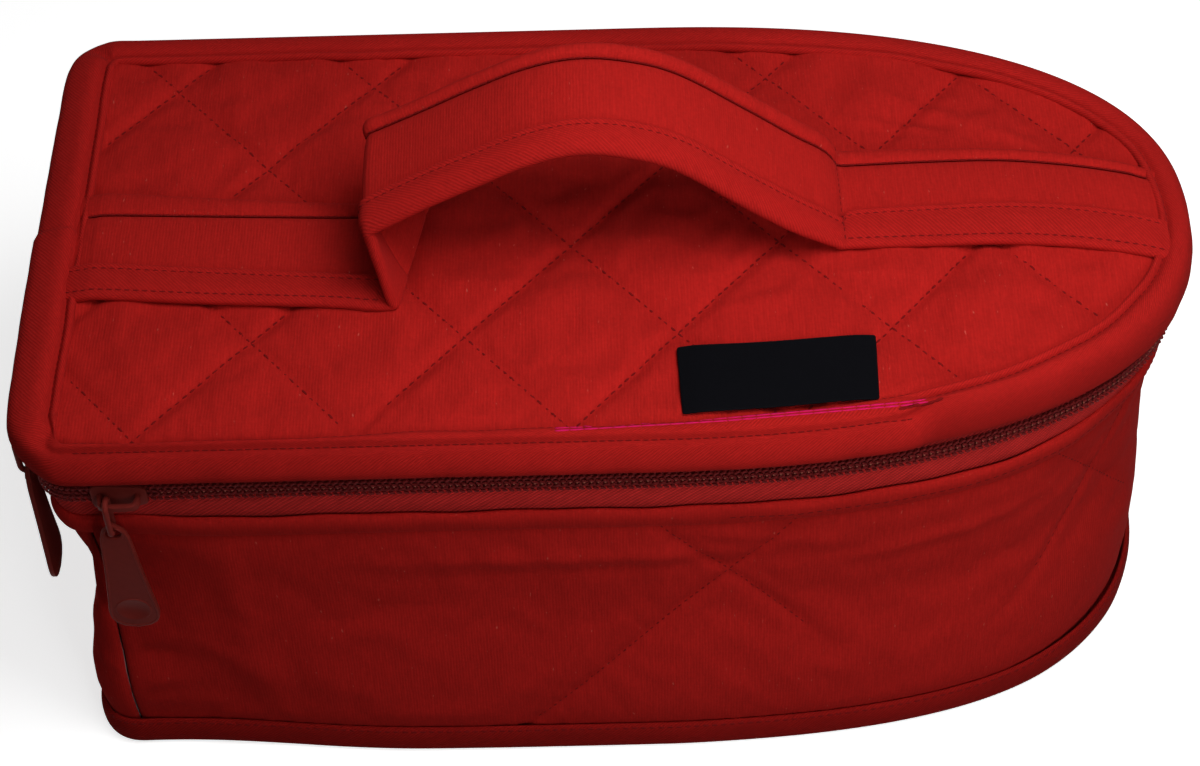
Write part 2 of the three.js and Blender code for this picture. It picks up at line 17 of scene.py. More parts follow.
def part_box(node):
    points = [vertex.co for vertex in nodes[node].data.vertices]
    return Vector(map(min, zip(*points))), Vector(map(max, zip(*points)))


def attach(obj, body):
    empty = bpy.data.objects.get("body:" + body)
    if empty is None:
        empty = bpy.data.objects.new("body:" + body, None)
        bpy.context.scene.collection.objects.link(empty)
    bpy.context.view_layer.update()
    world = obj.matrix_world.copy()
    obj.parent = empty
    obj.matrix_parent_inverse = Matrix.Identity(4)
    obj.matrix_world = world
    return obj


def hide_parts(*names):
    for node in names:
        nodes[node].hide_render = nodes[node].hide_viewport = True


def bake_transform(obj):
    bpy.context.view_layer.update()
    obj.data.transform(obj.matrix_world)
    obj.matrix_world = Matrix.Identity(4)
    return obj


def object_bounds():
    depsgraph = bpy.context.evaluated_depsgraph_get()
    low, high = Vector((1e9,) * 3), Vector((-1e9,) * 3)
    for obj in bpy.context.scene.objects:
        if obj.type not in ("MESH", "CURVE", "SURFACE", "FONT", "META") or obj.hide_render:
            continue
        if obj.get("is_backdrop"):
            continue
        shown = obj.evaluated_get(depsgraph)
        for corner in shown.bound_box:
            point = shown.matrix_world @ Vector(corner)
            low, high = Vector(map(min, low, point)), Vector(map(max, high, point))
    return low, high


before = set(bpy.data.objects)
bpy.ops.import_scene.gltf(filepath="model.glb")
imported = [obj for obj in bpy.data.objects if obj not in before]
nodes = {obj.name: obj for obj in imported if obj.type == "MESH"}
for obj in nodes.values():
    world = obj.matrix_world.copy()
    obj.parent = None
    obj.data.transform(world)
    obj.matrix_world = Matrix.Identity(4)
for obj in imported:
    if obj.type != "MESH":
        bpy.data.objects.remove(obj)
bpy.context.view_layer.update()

# %% [markdown]
# ## The camera
# The photograph is taken from in front of the near side and high above it, almost
# square on. A real lens of this length keeps the far side only a little smaller.

# %% Place the camera
MM = 0.001
AIM = Vector((-5.83, -63.90, 150)) * MM
AZIMUTH, ELEVATION, ROLL = (math.radians(a) for a in (0.844, 49.513, -2.018))
DISTANCE, LENS, SENSOR = 726.41 * MM, 77.31, 36
back = Vector((math.sin(AZIMUTH) * math.cos(ELEVATION),
               -math.cos(AZIMUTH) * math.cos(ELEVATION), math.sin(ELEVATION)))
level_right = Vector((0, 0, 1)).cross(back).normalized()
level_up = back.cross(level_right)
right = level_right * math.cos(ROLL) + level_up * math.sin(ROLL)
up = level_up * math.cos(ROLL) - level_right * math.sin(ROLL)
camera = bpy.data.objects.new("camera", bpy.data.cameras.new("camera"))
bpy.context.collection.objects.link(camera)
camera.data.lens, camera.data.sensor_width = LENS, SENSOR
camera.matrix_world = Matrix.Translation(AIM + back * DISTANCE) @ Matrix((
    right, up, back)).transposed().to_4x4()
bpy.context.scene.camera = camera
bpy.context.scene.view_settings.view_transform = "Standard"
print("camera at", [round(v * 1000) for v in camera.matrix_world.translation])

# %% [markdown]
# ## The plan of the case
# Seen from above the case has the outline of an iron: a straight heel, two rounded
# corners, two parallel sides and a rounded nose. Almost every piece follows it, so
# the outline is measured once as a walk round the case. The walk starts in the
# middle of the heel, goes round the near side and the nose, and comes back along
# the far side. A place on the case is then a walk, an inset and a height, all three
# in millimetres.

# %% Walk round the plan
HALF_LENGTH, HALF_WIDTH, CORNER = 170 * MM, 85 * MM, 14 * MM
NOSE_START, NOSE_FULLNESS = 7 * MM, 2.35
HEEL_ROWS, CORNER_ROWS, SIDE_ROWS, NOSE_ROWS = 40, 30, 80, 240


def half_of_plan():
    """Rows of x, y and the outward direction, from the middle of the heel to the nose tip."""
    y = np.linspace(0, HALF_WIDTH - CORNER, HEEL_ROWS, endpoint=False)
    heel = np.column_stack([0 * y - HALF_LENGTH, -y, 0 * y - 1, 0 * y])
    turn = np.linspace(0, math.pi / 2, CORNER_ROWS)
    corner = np.column_stack([
        CORNER * (1 - np.cos(turn)) - HALF_LENGTH, CORNER * (1 - np.sin(turn)) - HALF_WIDTH,
        -np.cos(turn), -np.sin(turn)])
    x = np.linspace(CORNER - HALF_LENGTH, NOSE_START, SIDE_ROWS, endpoint=False)[1:]
    side = np.column_stack([x, 0 * x - HALF_WIDTH, 0 * x, 0 * x - 1])
    turn = np.linspace(0, math.pi / 2, NOSE_ROWS)
    along, across = np.sin(turn) ** (2 / NOSE_FULLNESS), np.cos(turn) ** (2 / NOSE_FULLNESS)
    reach = HALF_LENGTH - NOSE_START
    nose = np.column_stack([
        NOSE_START + reach * along, -HALF_WIDTH * across,
        along ** (NOSE_FULLNESS - 1) / reach, -across ** (NOSE_FULLNESS - 1) / HALF_WIDTH])
    return np.vstack([heel, corner, side, nose])


def walked_along(points):
    """How far along a line of points each of them is."""
    return np.concatenate([[0], np.cumsum(np.linalg.norm(np.diff(points, axis=0), axis=1))])


near_half = half_of_plan()
plan = np.vstack([near_half, near_half[-2::-1] * (1, -1, 1, -1)])
plan[:, 2:] /= np.linalg.norm(plan[:, 2:], axis=1)[:, None]
walked = walked_along(plan[:, :2]) / MM
WALK = walked[-1]
SEAM = walked[HEEL_ROWS + CORNER_ROWS - 1]


def outward(walk):
    """x and y of the outward direction at a walk round the case."""
    out = np.array([np.interp(np.mod(walk, WALK), walked, c) for c in plan.T[2:]])
    return out / np.hypot(*out)


def on_plan(walk, inset=0.0):
    """x and y, in metres, at a walk round the case and an inset from its outermost edge."""
    x, y = (np.interp(np.mod(walk, WALK), walked, c) for c in plan.T[:2])
    out_x, out_y = outward(walk)
    return x - inset * MM * out_x, y - inset * MM * out_y


def near_walk(x):
    """The walk at which the near side passes x, which is in millimetres."""
    half = len(near_half)
    return np.interp(x * MM, plan[HEEL_ROWS:half, 0], walked[HEEL_ROWS:half])


def inset_of(x, y):
    """The inset of points whose x and y are in metres, and the walks nearest to them."""
    away_x, away_y = x[:, None] - plan[:, 0], y[:, None] - plan[:, 1]
    nearest = np.argmin(away_x ** 2 + away_y ** 2, axis=1)
    here = np.arange(len(x))
    out = away_x[here, nearest] * plan[nearest, 2] + away_y[here, nearest] * plan[nearest, 3]
    return -out / MM, walked[nearest]


def ease(value, low, high):
    """0 below low, 1 above high, and a soft step between them."""
    t = np.clip((value - low) / (high - low), 0, 1)
    return t * t * (3 - 2 * t)


print("once round the case is", round(WALK), "mm, heel seam at", round(SEAM))

# %% [markdown]
# ## Cloth made from a flat grid
# Sewn things start as flat cloth, so the pieces do too. An operator makes a flat
# grid, its flat coordinates in metres are kept as the UV map, and then the cloth is
# laid where it belongs. The weave in the materials reads that map, so that threads
# keep their real size and run with the cloth, whatever it is bent into.

# %% Helpers for cloth


def flat_cloth(wide, deep, step_wide, step_deep):
    """A flat grid from wide[0] to wide[1] and deep[0] to deep[1], with its UV map in metres."""
    bm = bmesh.new()
    size = (wide[1] - wide[0], deep[1] - deep[0])
    bmesh.ops.create_grid(bm, x_segments=max(1, round(size[0] / step_wide)),
                          y_segments=max(1, round(size[1] / step_deep)), size=0.5)
    middle = Matrix.Translation((sum(wide) / 2, sum(deep) / 2, 0))
    bmesh.ops.transform(bm, matrix=middle @ Matrix.Diagonal((*size, 1, 1)), verts=bm.verts)
    cloth_map = bm.loops.layers.uv.new("UVMap")
    for face in bm.faces:
        for corner in face.loops:
            corner[cloth_map].uv = corner.vert.co.xy
    return bm


def put(bm, spots):
    for vert, spot in zip(bm.verts, spots):
        vert.co = spot


def lay(bm, place):
    """Lays a flat grid: place(u, v) gives the x, y and z of its points."""
    put(bm, np.column_stack(place(*np.array([v.co for v in bm.verts]).T[:2])))


def map_steps(bm, along, around):
    """Gives the cloth map real lengths where the grid was laid out in whole steps."""
    cloth_map = bm.loops.layers.uv.active
    for face in bm.faces:
        for corner in face.loops:
            u, v = corner[cloth_map].uv
            corner[cloth_map].uv = (along(u), around[round(v)])


def piece(name, bm, *materials, body=None, stands_for=(), slot=None, rounder=0, close=False):
    """Turns a bmesh into a named object that rides on a body and stands for its solids."""
    bmesh.ops.remove_doubles(bm, verts=bm.verts, dist=0.01 * MM)
    if close:
        bmesh.ops.holes_fill(bm, edges=[e for e in bm.edges if e.is_boundary], sides=0)
    bmesh.ops.recalc_face_normals(bm, faces=bm.faces)
    mesh = bpy.data.meshes.new(name)
    bm.to_mesh(mesh)
    bm.free()
    made = bpy.data.objects.new(name, mesh)
    bpy.context.collection.objects.link(made)
    for material in materials:
        mesh.materials.append(material)
    mesh.shade_smooth()
    if rounder:
        soft = made.modifiers.new("rounder", "SUBSURF")
        soft.levels = soft.render_levels = rounder
    if stands_for:
        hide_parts(*stands_for)
    if body:
        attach(made, body)
    return made


def sleeve(start, end, step, section):
    """A closed band along the walk. section(walk) gives the insets and heights of the
    corners round its cross-section."""
    corners = np.array([(np.mean(a), np.mean(b)) for a, b in section(np.array([start, end]))])
    bm = flat_cloth((start * MM, end * MM), (0, len(corners)), step * MM, 1)

    def place(u, v):
        walk = u / MM
        rows = np.array([np.broadcast_arrays(a, b, walk)[:2] for a, b in section(walk)])
        picked = rows[np.round(v).astype(int) % len(rows), :, np.arange(len(walk))]
        return (*on_plan(walk, picked[:, 0]), picked[:, 1] * MM)

    map_steps(bm, lambda u: u, walked_along(np.vstack([corners, corners[:1]])) * MM)
    lay(bm, place)
    return bm

# %% [markdown]
# A bar, a wire and a strap are all one shape carried along a path. The grid runs along
# the path and round the section, and each row of it is set square to the path.

# %% Sweep a section along a path


def smooth_path(rows, step):
    """Points on a smooth curve through rows, about step apart. A row may carry more than
    its place: what comes after x and z is eased along the curve in the same way."""
    rows = np.array(rows, float)
    ends = np.vstack([2 * rows[0] - rows[1], rows, 2 * rows[-1] - rows[-2]])
    curve = []
    for a, b, c, d in zip(ends, ends[1:], ends[2:], ends[3:]):
        count = max(2, round(math.dist(b[:2], c[:2]) / step))
        t = np.linspace(0, 1, count, endpoint=False)[:, None]
        curve.append(0.5 * (2 * b + (c - a) * t + (2 * a - 5 * b + 4 * c - d) * t ** 2
                            + (3 * b - a - 3 * c + d) * t ** 3))
    return np.vstack([*curve, rows[-1:]])


def swept(path, side, section, lead=0.0, drop=0.0, closed=False):
    """Carries a section along a path. Its corners are (across, out) in metres, each one
    number or one for every point of the path. What lies aside moves along x by lead and
    up by drop for each metre across."""
    path, side = np.asarray(path, float), np.asarray(side, float)
    ahead = np.gradient(path, axis=0)
    if closed:
        ahead[0] = ahead[-1] = path[1] - path[-2]
    ahead /= np.linalg.norm(ahead, axis=1)[:, None]
    out = np.cross(ahead, side)
    length = walked_along(path)
    rows = np.array([np.broadcast_arrays(a, b, length)[:2] for a, b in section])
    bm = flat_cloth((0, len(path) - 1), (0, len(section)), 1, 1)

    def place(u, v):
        k = np.round(u).astype(int)
        across, rise = rows[np.round(v).astype(int) % len(section), :, k].T
        spot = (path[k] + across[:, None] * side + rise[:, None] * out[k])
        spot[:, 0] += across * np.broadcast_to(lead, length.shape)[k]
        spot[:, 2] += across * np.broadcast_to(drop, length.shape)[k]
        return tuple(spot.T)

    corners = rows.mean(axis=2)
    map_steps(bm, lambda u: length[round(u)], walked_along(np.vstack([corners, corners[:1]])))
    lay(bm, place)
    return bm

# %% [markdown]
# ## Finishes
# The cotton of the case is a plain weave with fine ribs, and its edges are bound with
# twill, whose ribs run slantwise. Both are dyed the same deep red. Each finish is one
# small recipe: ribs and cross threads from waves on the cloth map, slubs from noise
# stretched along the threads, and slow changes of tone over the whole piece.

# %% Helpers for finishes


def node(tree, kind, inputs=None, out=0, **settings):
    """Adds a shader node and returns one of its outputs. A socket given as an input is
    linked to it, anything else is set."""
    made = tree.nodes.new("ShaderNode" + kind)
    for name, value in settings.items():
        setattr(made, name, value)
    for name, value in (inputs or {}).items():
        if isinstance(value, bpy.types.NodeSocket):
            tree.links.new(value, made.inputs[name])
        else:
            made.inputs[name].default_value = value
    return made.outputs[out]


def new_finish(name, roughness, **sockets):
    material = bpy.data.materials.new(name)
    material.use_nodes = True
    shader = material.node_tree.nodes["Principled BSDF"]
    shader.inputs["Roughness"].default_value = roughness
    for socket, value in sockets.items():
        shader.inputs[socket.replace("_", " ")].default_value = value
    return material, material.node_tree, shader


def noise(tree, place, scale, detail, **more):
    return node(tree, "TexNoise", {"Vector": place, "Scale": scale, "Detail": detail, **more})


def tone(tree, source, low, high):
    """Turns a 0 to 1 value into a grey between low and high, to multiply a colour by."""
    return node(tree, "MapRange", {"Value": source, "To Min": low, "To Max": high})


def tinted(tree, colour, *tones):
    """A colour multiplied by each (source, darkest, brightest) in turn."""
    mixed = node(tree, "RGB")
    mixed.default_value = (*colour, 1)
    for source, low, high in tones:
        mixed = node(tree, "MixRGB", {"Fac": 1.0, "Color1": mixed, "Color2": tone(
            tree, source, low, high)}, blend_type="MULTIPLY")
    return mixed


def put_on(tree, shader, colour, height, strength, relief):
    """Gives a shader its colour and its relief, which is in millimetres."""
    tree.links.new(colour, shader.inputs["Base Color"])
    bump = node(tree, "Bump", {"Height": height, "Strength": strength, "Distance": relief * MM})
    tree.links.new(bump, shader.inputs["Normal"])


def cloth_finish(name, colour, pitch=0.9, cross=0.45, slant=0.0, relief=0.07, ribs=0.045,
                 slubs=0.20, drift=0.12, lint=0.0, roughness=0.9, sheen=0.01, gloss=0.03):
    """A woven cloth. pitch and cross are the threads' spacing in millimetres, slant turns
    the ribs on the cloth map, and the rest say how much of each effect there is."""
    material, tree, shader = new_finish(name, roughness, Sheen_Weight=sheen,
                                        Sheen_Roughness=0.5, Specular_IOR_Level=gloss)
    shader.inputs["Sheen Tint"].default_value = (*(0.5 + c / 2 for c in colour), 1)
    flat = node(tree, "Mapping", {"Vector": node(tree, "UVMap", uv_map="UVMap"),
                                  "Rotation": (0, 0, slant)})
    place = node(tree, "TexCoord", out="Object")

    def stretched(along, across):
        return node(tree, "Mapping", {"Vector": flat, "Scale": (along, across, 1)})

    def threads(gap, bend, detail, fine, way):
        return node(tree, "TexWave", {
            "Vector": flat, "Scale": math.tau / 20 / (gap * MM), "Distortion": bend,
            "Detail": detail, "Detail Scale": fine}, out=1, bands_direction=way)

    rib, weft = threads(pitch, 2.2, 2.0, 0.4, "X"), threads(cross, 1.0, 1.0, 1.0, "Y")
    streak = noise(tree, stretched(1 / (pitch * MM), 130), 1.0, 3.0)
    broad = noise(tree, place, 14.0, 4.0, Roughness=0.55)
    fine = noise(tree, place, 900.0, 2.0)
    mixed = tinted(tree, colour, (rib, 1 - ribs, 1 + ribs / 3), (weft, 1 - ribs / 3, 1 + ribs / 6),
                   (streak, 1 - slubs, 1 + slubs), (broad, 1 - drift, 1 + drift),
                   (fine, 0.82, 1.18))
    if lint:
        shown = node(tree, "MapRange", {"Value": noise(tree, stretched(900, 350), 1.0, 1.0),
                                        "From Min": 0.74, "From Max": 0.80, "To Max": lint})
        mixed = node(tree, "MixRGB", {"Fac": shown, "Color1": mixed,
                                      "Color2": (0.75, 0.22, 0.16, 1)})
    half_weft = node(tree, "Math", {0: weft, 1: 0.5}, operation="MULTIPLY")
    height = node(tree, "Math", {0: node(tree, "Math", {0: rib, 1: half_weft}), 1: streak})
    put_on(tree, shader, mixed, height, 0.6, relief)
    return material


def plain_finish(name, colour, speck=700.0, amount=0.15, relief=0.05, roughness=0.6, **sockets):
    """A finish without a weave: a colour broken up by noise, with a little relief."""
    material, tree, shader = new_finish(name, roughness, **sockets)
    place = node(tree, "TexCoord", out="Object")
    small, large = noise(tree, place, speck, 3.0), noise(tree, place, speck / 12, 4.0)
    tree.links.new(tone(tree, large, roughness - 0.12, min(1.0, roughness + 0.12)),
                   shader.inputs["Roughness"])
    put_on(tree, shader, tinted(tree, colour, (small, 1 - amount, 1 + amount),
                                (large, 1 - amount, 1 + amount)), small, 0.5, relief)
    return material

# %% [markdown]
# ## The finishes themselves
# The lid and the walls share one cotton. The binding twill is a little brighter, and
# round the foot it is darker: painted shade, the shade on the foot's binding put into
# its colour. The zip is a maroon knit, painted lighter than it is to make up for the
# shade over its tape, and the lining inside a grey heat-proof cloth. The sliders are
# painted metal with a dusty coat, and the label is black satin. Threads are plain, and
# darker than the cloth that they are sewn into.

# %% Mix the finishes
cotton = cloth_finish("red_cotton", (0.40, 0.0120, 0.0098), lint=0.25)
BINDING = dict(pitch=0.85, cross=0.4, slant=math.radians(48), relief=0.14, ribs=0.2, slubs=0.12)
twill = cloth_finish("red_twill", (0.42, 0.0125, 0.0105), **BINDING)
# Painted shade: this twill is darker to stand for the shade that falls on the foot's binding.
foot_twill_painted_shade = cloth_finish("foot_twill_painted_shade", (0.27, 0.008, 0.0065), **BINDING)
lining = cloth_finish("grey_lining", (0.33, 0.34, 0.35), pitch=0.7, cross=0.7, ribs=0.08,
                      slubs=0.06, roughness=0.55, sheen=0.2)
# Painted light: the knit is lighter than the cotton to make up for the shade that the binding casts
# over the zip's tape.
knit_with_painted_light = cloth_finish("zip_knit_painted_light", (0.56, 0.027, 0.025), pitch=1.1, cross=0.8, relief=0.25,
                    slant=math.radians(50), ribs=0.3, slubs=0.35)
satin = cloth_finish("black_satin", (0.002, 0.002, 0.003), pitch=0.35, cross=0.35,
                     slant=math.radians(30), relief=0.04, roughness=0.6, sheen=0.0, gloss=0.02)
wadding = cloth_finish("wadding", (0.8, 0.78, 0.72), pitch=2.0, cross=2.3, relief=0.5,
                       ribs=0.1, slubs=0.2)
board = cloth_finish("base_board", (0.28, 0.25, 0.21), pitch=3.1, cross=1.7, relief=0.05,
                     ribs=0.03, slubs=0.15)
seam_thread = plain_finish("seam_thread", (0.17, 0.004, 0.004), speck=2500, roughness=0.9,
                           Specular_IOR_Level=0.1)
coil_thread = plain_finish("coil_thread", (0.14, 0.007, 0.007), speck=1800, amount=0.3,
                           roughness=0.75, Specular_IOR_Level=0.15)
pale_thread = plain_finish("pale_thread", (0.36, 0.09, 0.06), speck=1500, roughness=0.8,
                           Specular_IOR_Level=0.2)
piping_thread = plain_finish("piping_thread", (0.60, 0.006, 0.10), speck=1500, roughness=0.8,
                             Specular_IOR_Level=0.1)
slider_paint = plain_finish("slider_paint", (0.16, 0.017, 0.013), speck=500, amount=0.12,
                            relief=0.03, roughness=0.5, Specular_IOR_Level=0.03)
print("finishes:", ", ".join(sorted(m.name for m in bpy.data.materials)))

# %% [markdown]
# ## Quilting, folds and slack
# The lid and the walls are padded, and lines of stitching cross them in diamonds. The
# lines are known from where they cross. Cloth between them puffs up, and a sewn wall
# also sinks in where nothing behind it holds it, most of all by the heel's corners.
# Low down, the loaded wall spreads out a little along the near side.

# %% Measure the quilting, the folds and the slack


def quilt_gaps(u, v, cross, half):
    """Distances to the nearest line of each slant. Lines meet at cross, and again two half
    steps along either way."""
    a, b = (u - cross[0]) / half[0], (v - cross[1]) / half[1]
    apart = 1 / math.hypot(1 / half[0], 1 / half[1])
    return [np.abs((k + 1) % 2 - 1) * apart for k in (a + b, a - b)]


def folds(u, v, table):
    """Adds up soft folds. Each is its middle, half its length and width, slant and height."""
    total = 0 * u
    for mid_u, mid_v, length, width, slant, height in table:
        c, s = math.cos(math.radians(slant)), math.sin(math.radians(slant))
        along, aside = (u - mid_u) * c + (v - mid_v) * s, (v - mid_v) * c - (u - mid_u) * s
        total = total + height * np.exp(-(along / length) ** 2 - (aside / width) ** 2)
    return total


def ripple(walk, size, *lengths):
    """A gentle unevenness along a seam, made of a few waves that never line up."""
    return sum(np.sin(walk / length * math.tau + 1.7 * k) for k, length in enumerate(lengths)) * (
        size / len(lengths))


LID_CROSS, LID_HALF = (-75.3, -80.0), (30.7, 35.3)
WALL_CROSS, WALL_HALF = (near_walk(31), 83.4), (61.5, 70.5)


def quilt_reach(walk):
    """1 where lines of stitching cross the wall. They stop short of its two rear ends."""
    near, far = near_walk(-52), near_walk(-30)
    return ease(walk, near, far) * (1 - ease(walk, WALK - far, WALK - near))


def stitched(gaps, width, strength=(1, 1)):
    """1 on the lines of stitching, and less beside them."""
    return np.max([s * np.exp(-(g / width) ** 2) for s, g in zip(strength, gaps)], axis=0)


FLARE = smooth_path([(0, 0), (60, -0.1), (76, -0.8), (88, -1.5), *(
    (near_walk(x), out) for x, out in (
        (-145, -1.7), (-127, -0.9), (-108, 0.8), (-90, 2.5), (-70, 3.7), (-40, 4.1), (10, 4.1),
        (40, 3.8), (66, 4.0), (92, 4.5), (121, 5.0), (140, 4.0), (157, 1.9), (166, 0.3))),
    (WALK / 2, -0.3), (WALK / 2 + 40, -0.2), (WALK / 2 + 90, 0), (WALK, 0)], 5)


def flare(walk):
    """How far the foot spreads outwards along the near side, in millimetres."""
    return np.interp(np.mod(walk, WALK), *FLARE.T)


def slack(walk, height):
    """How far the wall has sunk in by the heel's corners and the nose, in millimetres."""
    walk = np.mod(walk, WALK)
    depth = np.interp(height, (0, 10, 24, 34, 45, 56, 66, 77, 87, 92, 102, 111, 116, 122),
                      (0, -.7, -1.2, -.4, 2.2, 4.1, 6.4, 8.0, 8.4, 7.6, 5.4, 3.8, 2.6, 0))
    near = ease(walk, 15, 66) * (1 - ease(walk, 88, 135))
    far = ease(WALK - walk, 25, 66) * (1 - ease(WALK - walk, 88, 130))
    nose = ease(walk, near_walk(110), near_walk(155)) * (
        1 - ease(walk, WALK / 2 + 10, WALK / 2 + 70))
    return depth * (near + 0.6 * far) + nose * np.interp(
        height, (0, 16, 34, 52, 70, 88, 105, 116, 127), (0, 1.4, 1.6, 2.2, 3.1, 4.3, 4.2, 4.0, 0.8))


def drawn_in(walk, height):
    """How strongly each slant of the wall's quilting draws it in, from 0 to 1. One long
    line crosses the near side, and the others fade away from where they cross."""
    a, b = (walk - WALL_CROSS[0]) / WALL_HALF[0], (height - WALL_CROSS[1]) / WALL_HALF[1]
    short = np.exp(-(((a + 1) % 2 - 1) * WALL_HALF[0] / 22) ** 2)
    long = np.where((np.abs(a - b) < 1) | (walk > WALK / 2), 1, short)
    return short * quilt_reach(walk), long * quilt_reach(walk)

# %% [markdown]
# ## Stuffing the pads
# A pad is the flat cloth laid in its place and given a thickness. Blender's cloth then
# blows it up a little from inside: the stitching holds its points, the rest is free,
# and a little spare cloth gives small wrinkles beside the seams. No point may move
# further than a few millimetres, so the case keeps its size.

# %% Simulate and refine a pad


def places(mesh):
    """The mesh's points as an array with a row for each."""
    found = np.empty(len(mesh.vertices) * 3)
    mesh.vertices.foreach_get("co", found)
    return found.reshape(-1, 3)


def stuff(pad, hold, push, spare, most, frames=20):
    """Fills a pad by cloth simulation. hold is 1 where a point is sewn down and 0 where it
    is free, push is the pressure, spare the extra cloth, and most the furthest move."""
    sewn = pad.vertex_groups.new(name="sewn")
    level = np.round(np.clip(hold, 0, 1) * 10).astype(int)
    for k in range(11):
        sewn.add([int(i) for i in np.flatnonzero(level == k)], k / 10, "REPLACE")
    cloth = pad.modifiers.new("cloth", "CLOTH")
    how = cloth.settings
    how.quality, how.mass = 5, 0.15
    how.tension_stiffness = how.compression_stiffness = 12
    how.shear_stiffness, how.bending_stiffness = 4, 0.4
    how.vertex_group_mass = "sewn"
    how.use_pressure, how.uniform_pressure_force = True, push
    how.shrink_min = -spare
    how.effector_weights.gravity = 0
    cloth.point_cache.frame_start, cloth.point_cache.frame_end = 1, frames
    for step in range(1, frames + 1):
        bpy.context.scene.frame_set(step)
    seen = pad.evaluated_get(bpy.context.evaluated_depsgraph_get())
    start, moved = places(pad.data), places(seen.data)
    pad.modifiers.remove(cloth)
    pad.vertex_groups.clear()
    move = moved - start
    far = np.linalg.norm(move, axis=1)
    move *= np.minimum(1, most / np.maximum(far, 1e-9))[:, None]
    pad.data.vertices.foreach_set("co", (start + move).ravel())
    bpy.context.scene.frame_set(1)
    print(f"{pad.name}: {len(start)} points, moved {far.mean() / MM:.2f} mm, "
          f"most {far.max() / MM:.1f}")


def refine(pad, shape):
    """Halves the pad's squares, rounds it, and lets shape(places) sculpt the finer points."""
    bm = bmesh.new()
    bm.from_mesh(pad.data)
    bmesh.ops.subdivide_edges(bm, edges=bm.edges, cuts=1, use_grid_fill=True)
    bmesh.ops.smooth_vert(bm, verts=bm.verts, factor=0.5, use_axis_x=True, use_axis_y=True,
                          use_axis_z=True)
    bm.to_mesh(pad.data)
    bm.free()
    pad.data.vertices.foreach_set("co", shape(places(pad.data)).ravel())
    pad.data.shade_smooth()

# %% [markdown]
# ## The quilted lid
# The lid's panel is cotton over wadding with the lining underneath. Its grid runs
# square to the case, so that the ribs do too, and what lies outside the binding's
# cover is cut away. Wrinkles that the photograph shows are laid on as long folds.

# %% Make the quilted lid
LID_COTTON_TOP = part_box("lid_outer")[1].z / MM
LID_LINING_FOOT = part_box("lid_lining")[0].z / MM
LID_FOLDS = (
    # x, y, half its length and width, slant in degrees, height
    (-104, 36, 28, 4, 2, 0.9), (-112, 50, 20, 4, -8, 0.8), (-138, 24, 16, 5, 12, -0.7),
    (-60, 55, 34, 6, 4, 0.7), (90, 36, 26, 1.8, -12, 1.3), (104, 33, 20, 1.5, -22, -0.9),
    (98, 42, 22, 1.8, -30, 1.0), (76, 38, 22, 3.5, -8, -0.8), (124, 28, 18, 3, -38, 0.7),
    (-30, -40, 26, 9, 20, 0.6), (8, -20, 20, 8, -30, 0.7), (104, -36, 22, 5, 40, 0.7),
    (-120, -52, 24, 8, 8, 0.6), (-136, -60, 14, 5, -50, 0.5), (118, -18, 18, 6, 24, 0.6),
    (40, 50, 30, 6, 6, 0.6), (-20, 62, 26, 5, -4, -0.6), (-144, 62, 14, 6, 35, 0.8),
    (-150, -20, 8, 14, 0, 0.5))


def lid_relief(x, y, inset):
    """Height of the lid's cloth over its seams, in millimetres: the puff of each diamond."""
    near, other = quilt_gaps(x, y, LID_CROSS, LID_HALF)
    return 1.5 * (1 - np.exp(-near / 6)) * (1 - np.exp(-other / 6)) * ease(inset, 3, 12)


def plan_sheet(inset, step, height):
    """A cloth with the plan of the case, cut off at an inset. height(x, y, inset), all in
    millimetres, says how high each point lies."""
    bm = flat_cloth((-168 * MM, 168 * MM), (-84 * MM, 84 * MM), step * MM, step * MM)
    flat = np.array([v.co for v in bm.verts])
    far = inset_of(*flat.T[:2])[0]
    bmesh.ops.delete(bm, geom=[v for v, d in zip(bm.verts, far) if d < inset], context="VERTS")
    flat = np.array([v.co for v in bm.verts])
    edge = np.array([v.is_boundary for v in bm.verts])
    flat[edge, 0], flat[edge, 1] = on_plan(inset_of(*flat.T[:2])[1][edge], inset)
    flat[:, 2] = height(*flat.T[:2] / MM, inset_of(*flat.T[:2])[0]) * MM
    put(bm, flat)
    return bm


def thicken(bm, thickness):
    """Turns a sheet that faces outwards into a closed pad, with its back on the inside."""
    bm.normal_update()
    bm.faces.ensure_lookup_table()
    bmesh.ops.solidify(bm, geom=bm.faces[:], thickness=thickness)


bm = plan_sheet(3.6, 3, lambda x, y, inset: LID_COTTON_TOP - 0.9 + lid_relief(x, y, inset))
thicken(bm, (LID_COTTON_TOP - LID_LINING_FOOT - 1.2) * MM)
lid_pad = piece("lid_pad", bm, cotton, lining)
x, y, z = places(lid_pad.data).T
inset = inset_of(x, y)[0]
print("lid pad heights", (z.min() / MM).round(1), (z.max() / MM).round(1))
stuff(lid_pad, np.maximum.reduce([
    stitched(quilt_gaps(x / MM, y / MM, LID_CROSS, LID_HALF), 1.8), 1 - ease(inset, 4, 9),
    0.12 + 0 * inset]), 1.2, 0.012, 3 * MM)


def lid_shape(spots):
    x, y, z = spots.T / MM
    inset = inset_of(*spots.T[:2])[0]
    sewn = stitched(quilt_gaps(x, y, LID_CROSS, LID_HALF), 1.7)
    top = z > (LID_COTTON_TOP + LID_LINING_FOOT) / 2
    z = z + np.where(top, folds(x, y, LID_FOLDS) * ease(inset, 5, 14) - 0.7 * sewn, 0.4 * sewn)
    return np.column_stack([x, y, z]) * MM


refine(lid_pad, lid_shape)
for face in lid_pad.data.polygons:
    face.material_index = int(face.normal.z < -0.3)
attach(lid_pad, "lid")
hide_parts("lid_outer", "lid_wadding", "lid_lining")

# %% [markdown]
# ## The padded walls
# One long wall runs from the near end of the heel round the nose to the far end, and a
# separate heel wall wraps the two rear corners. They are sewn together in upright
# seams, where both are pinched thin and pucker.

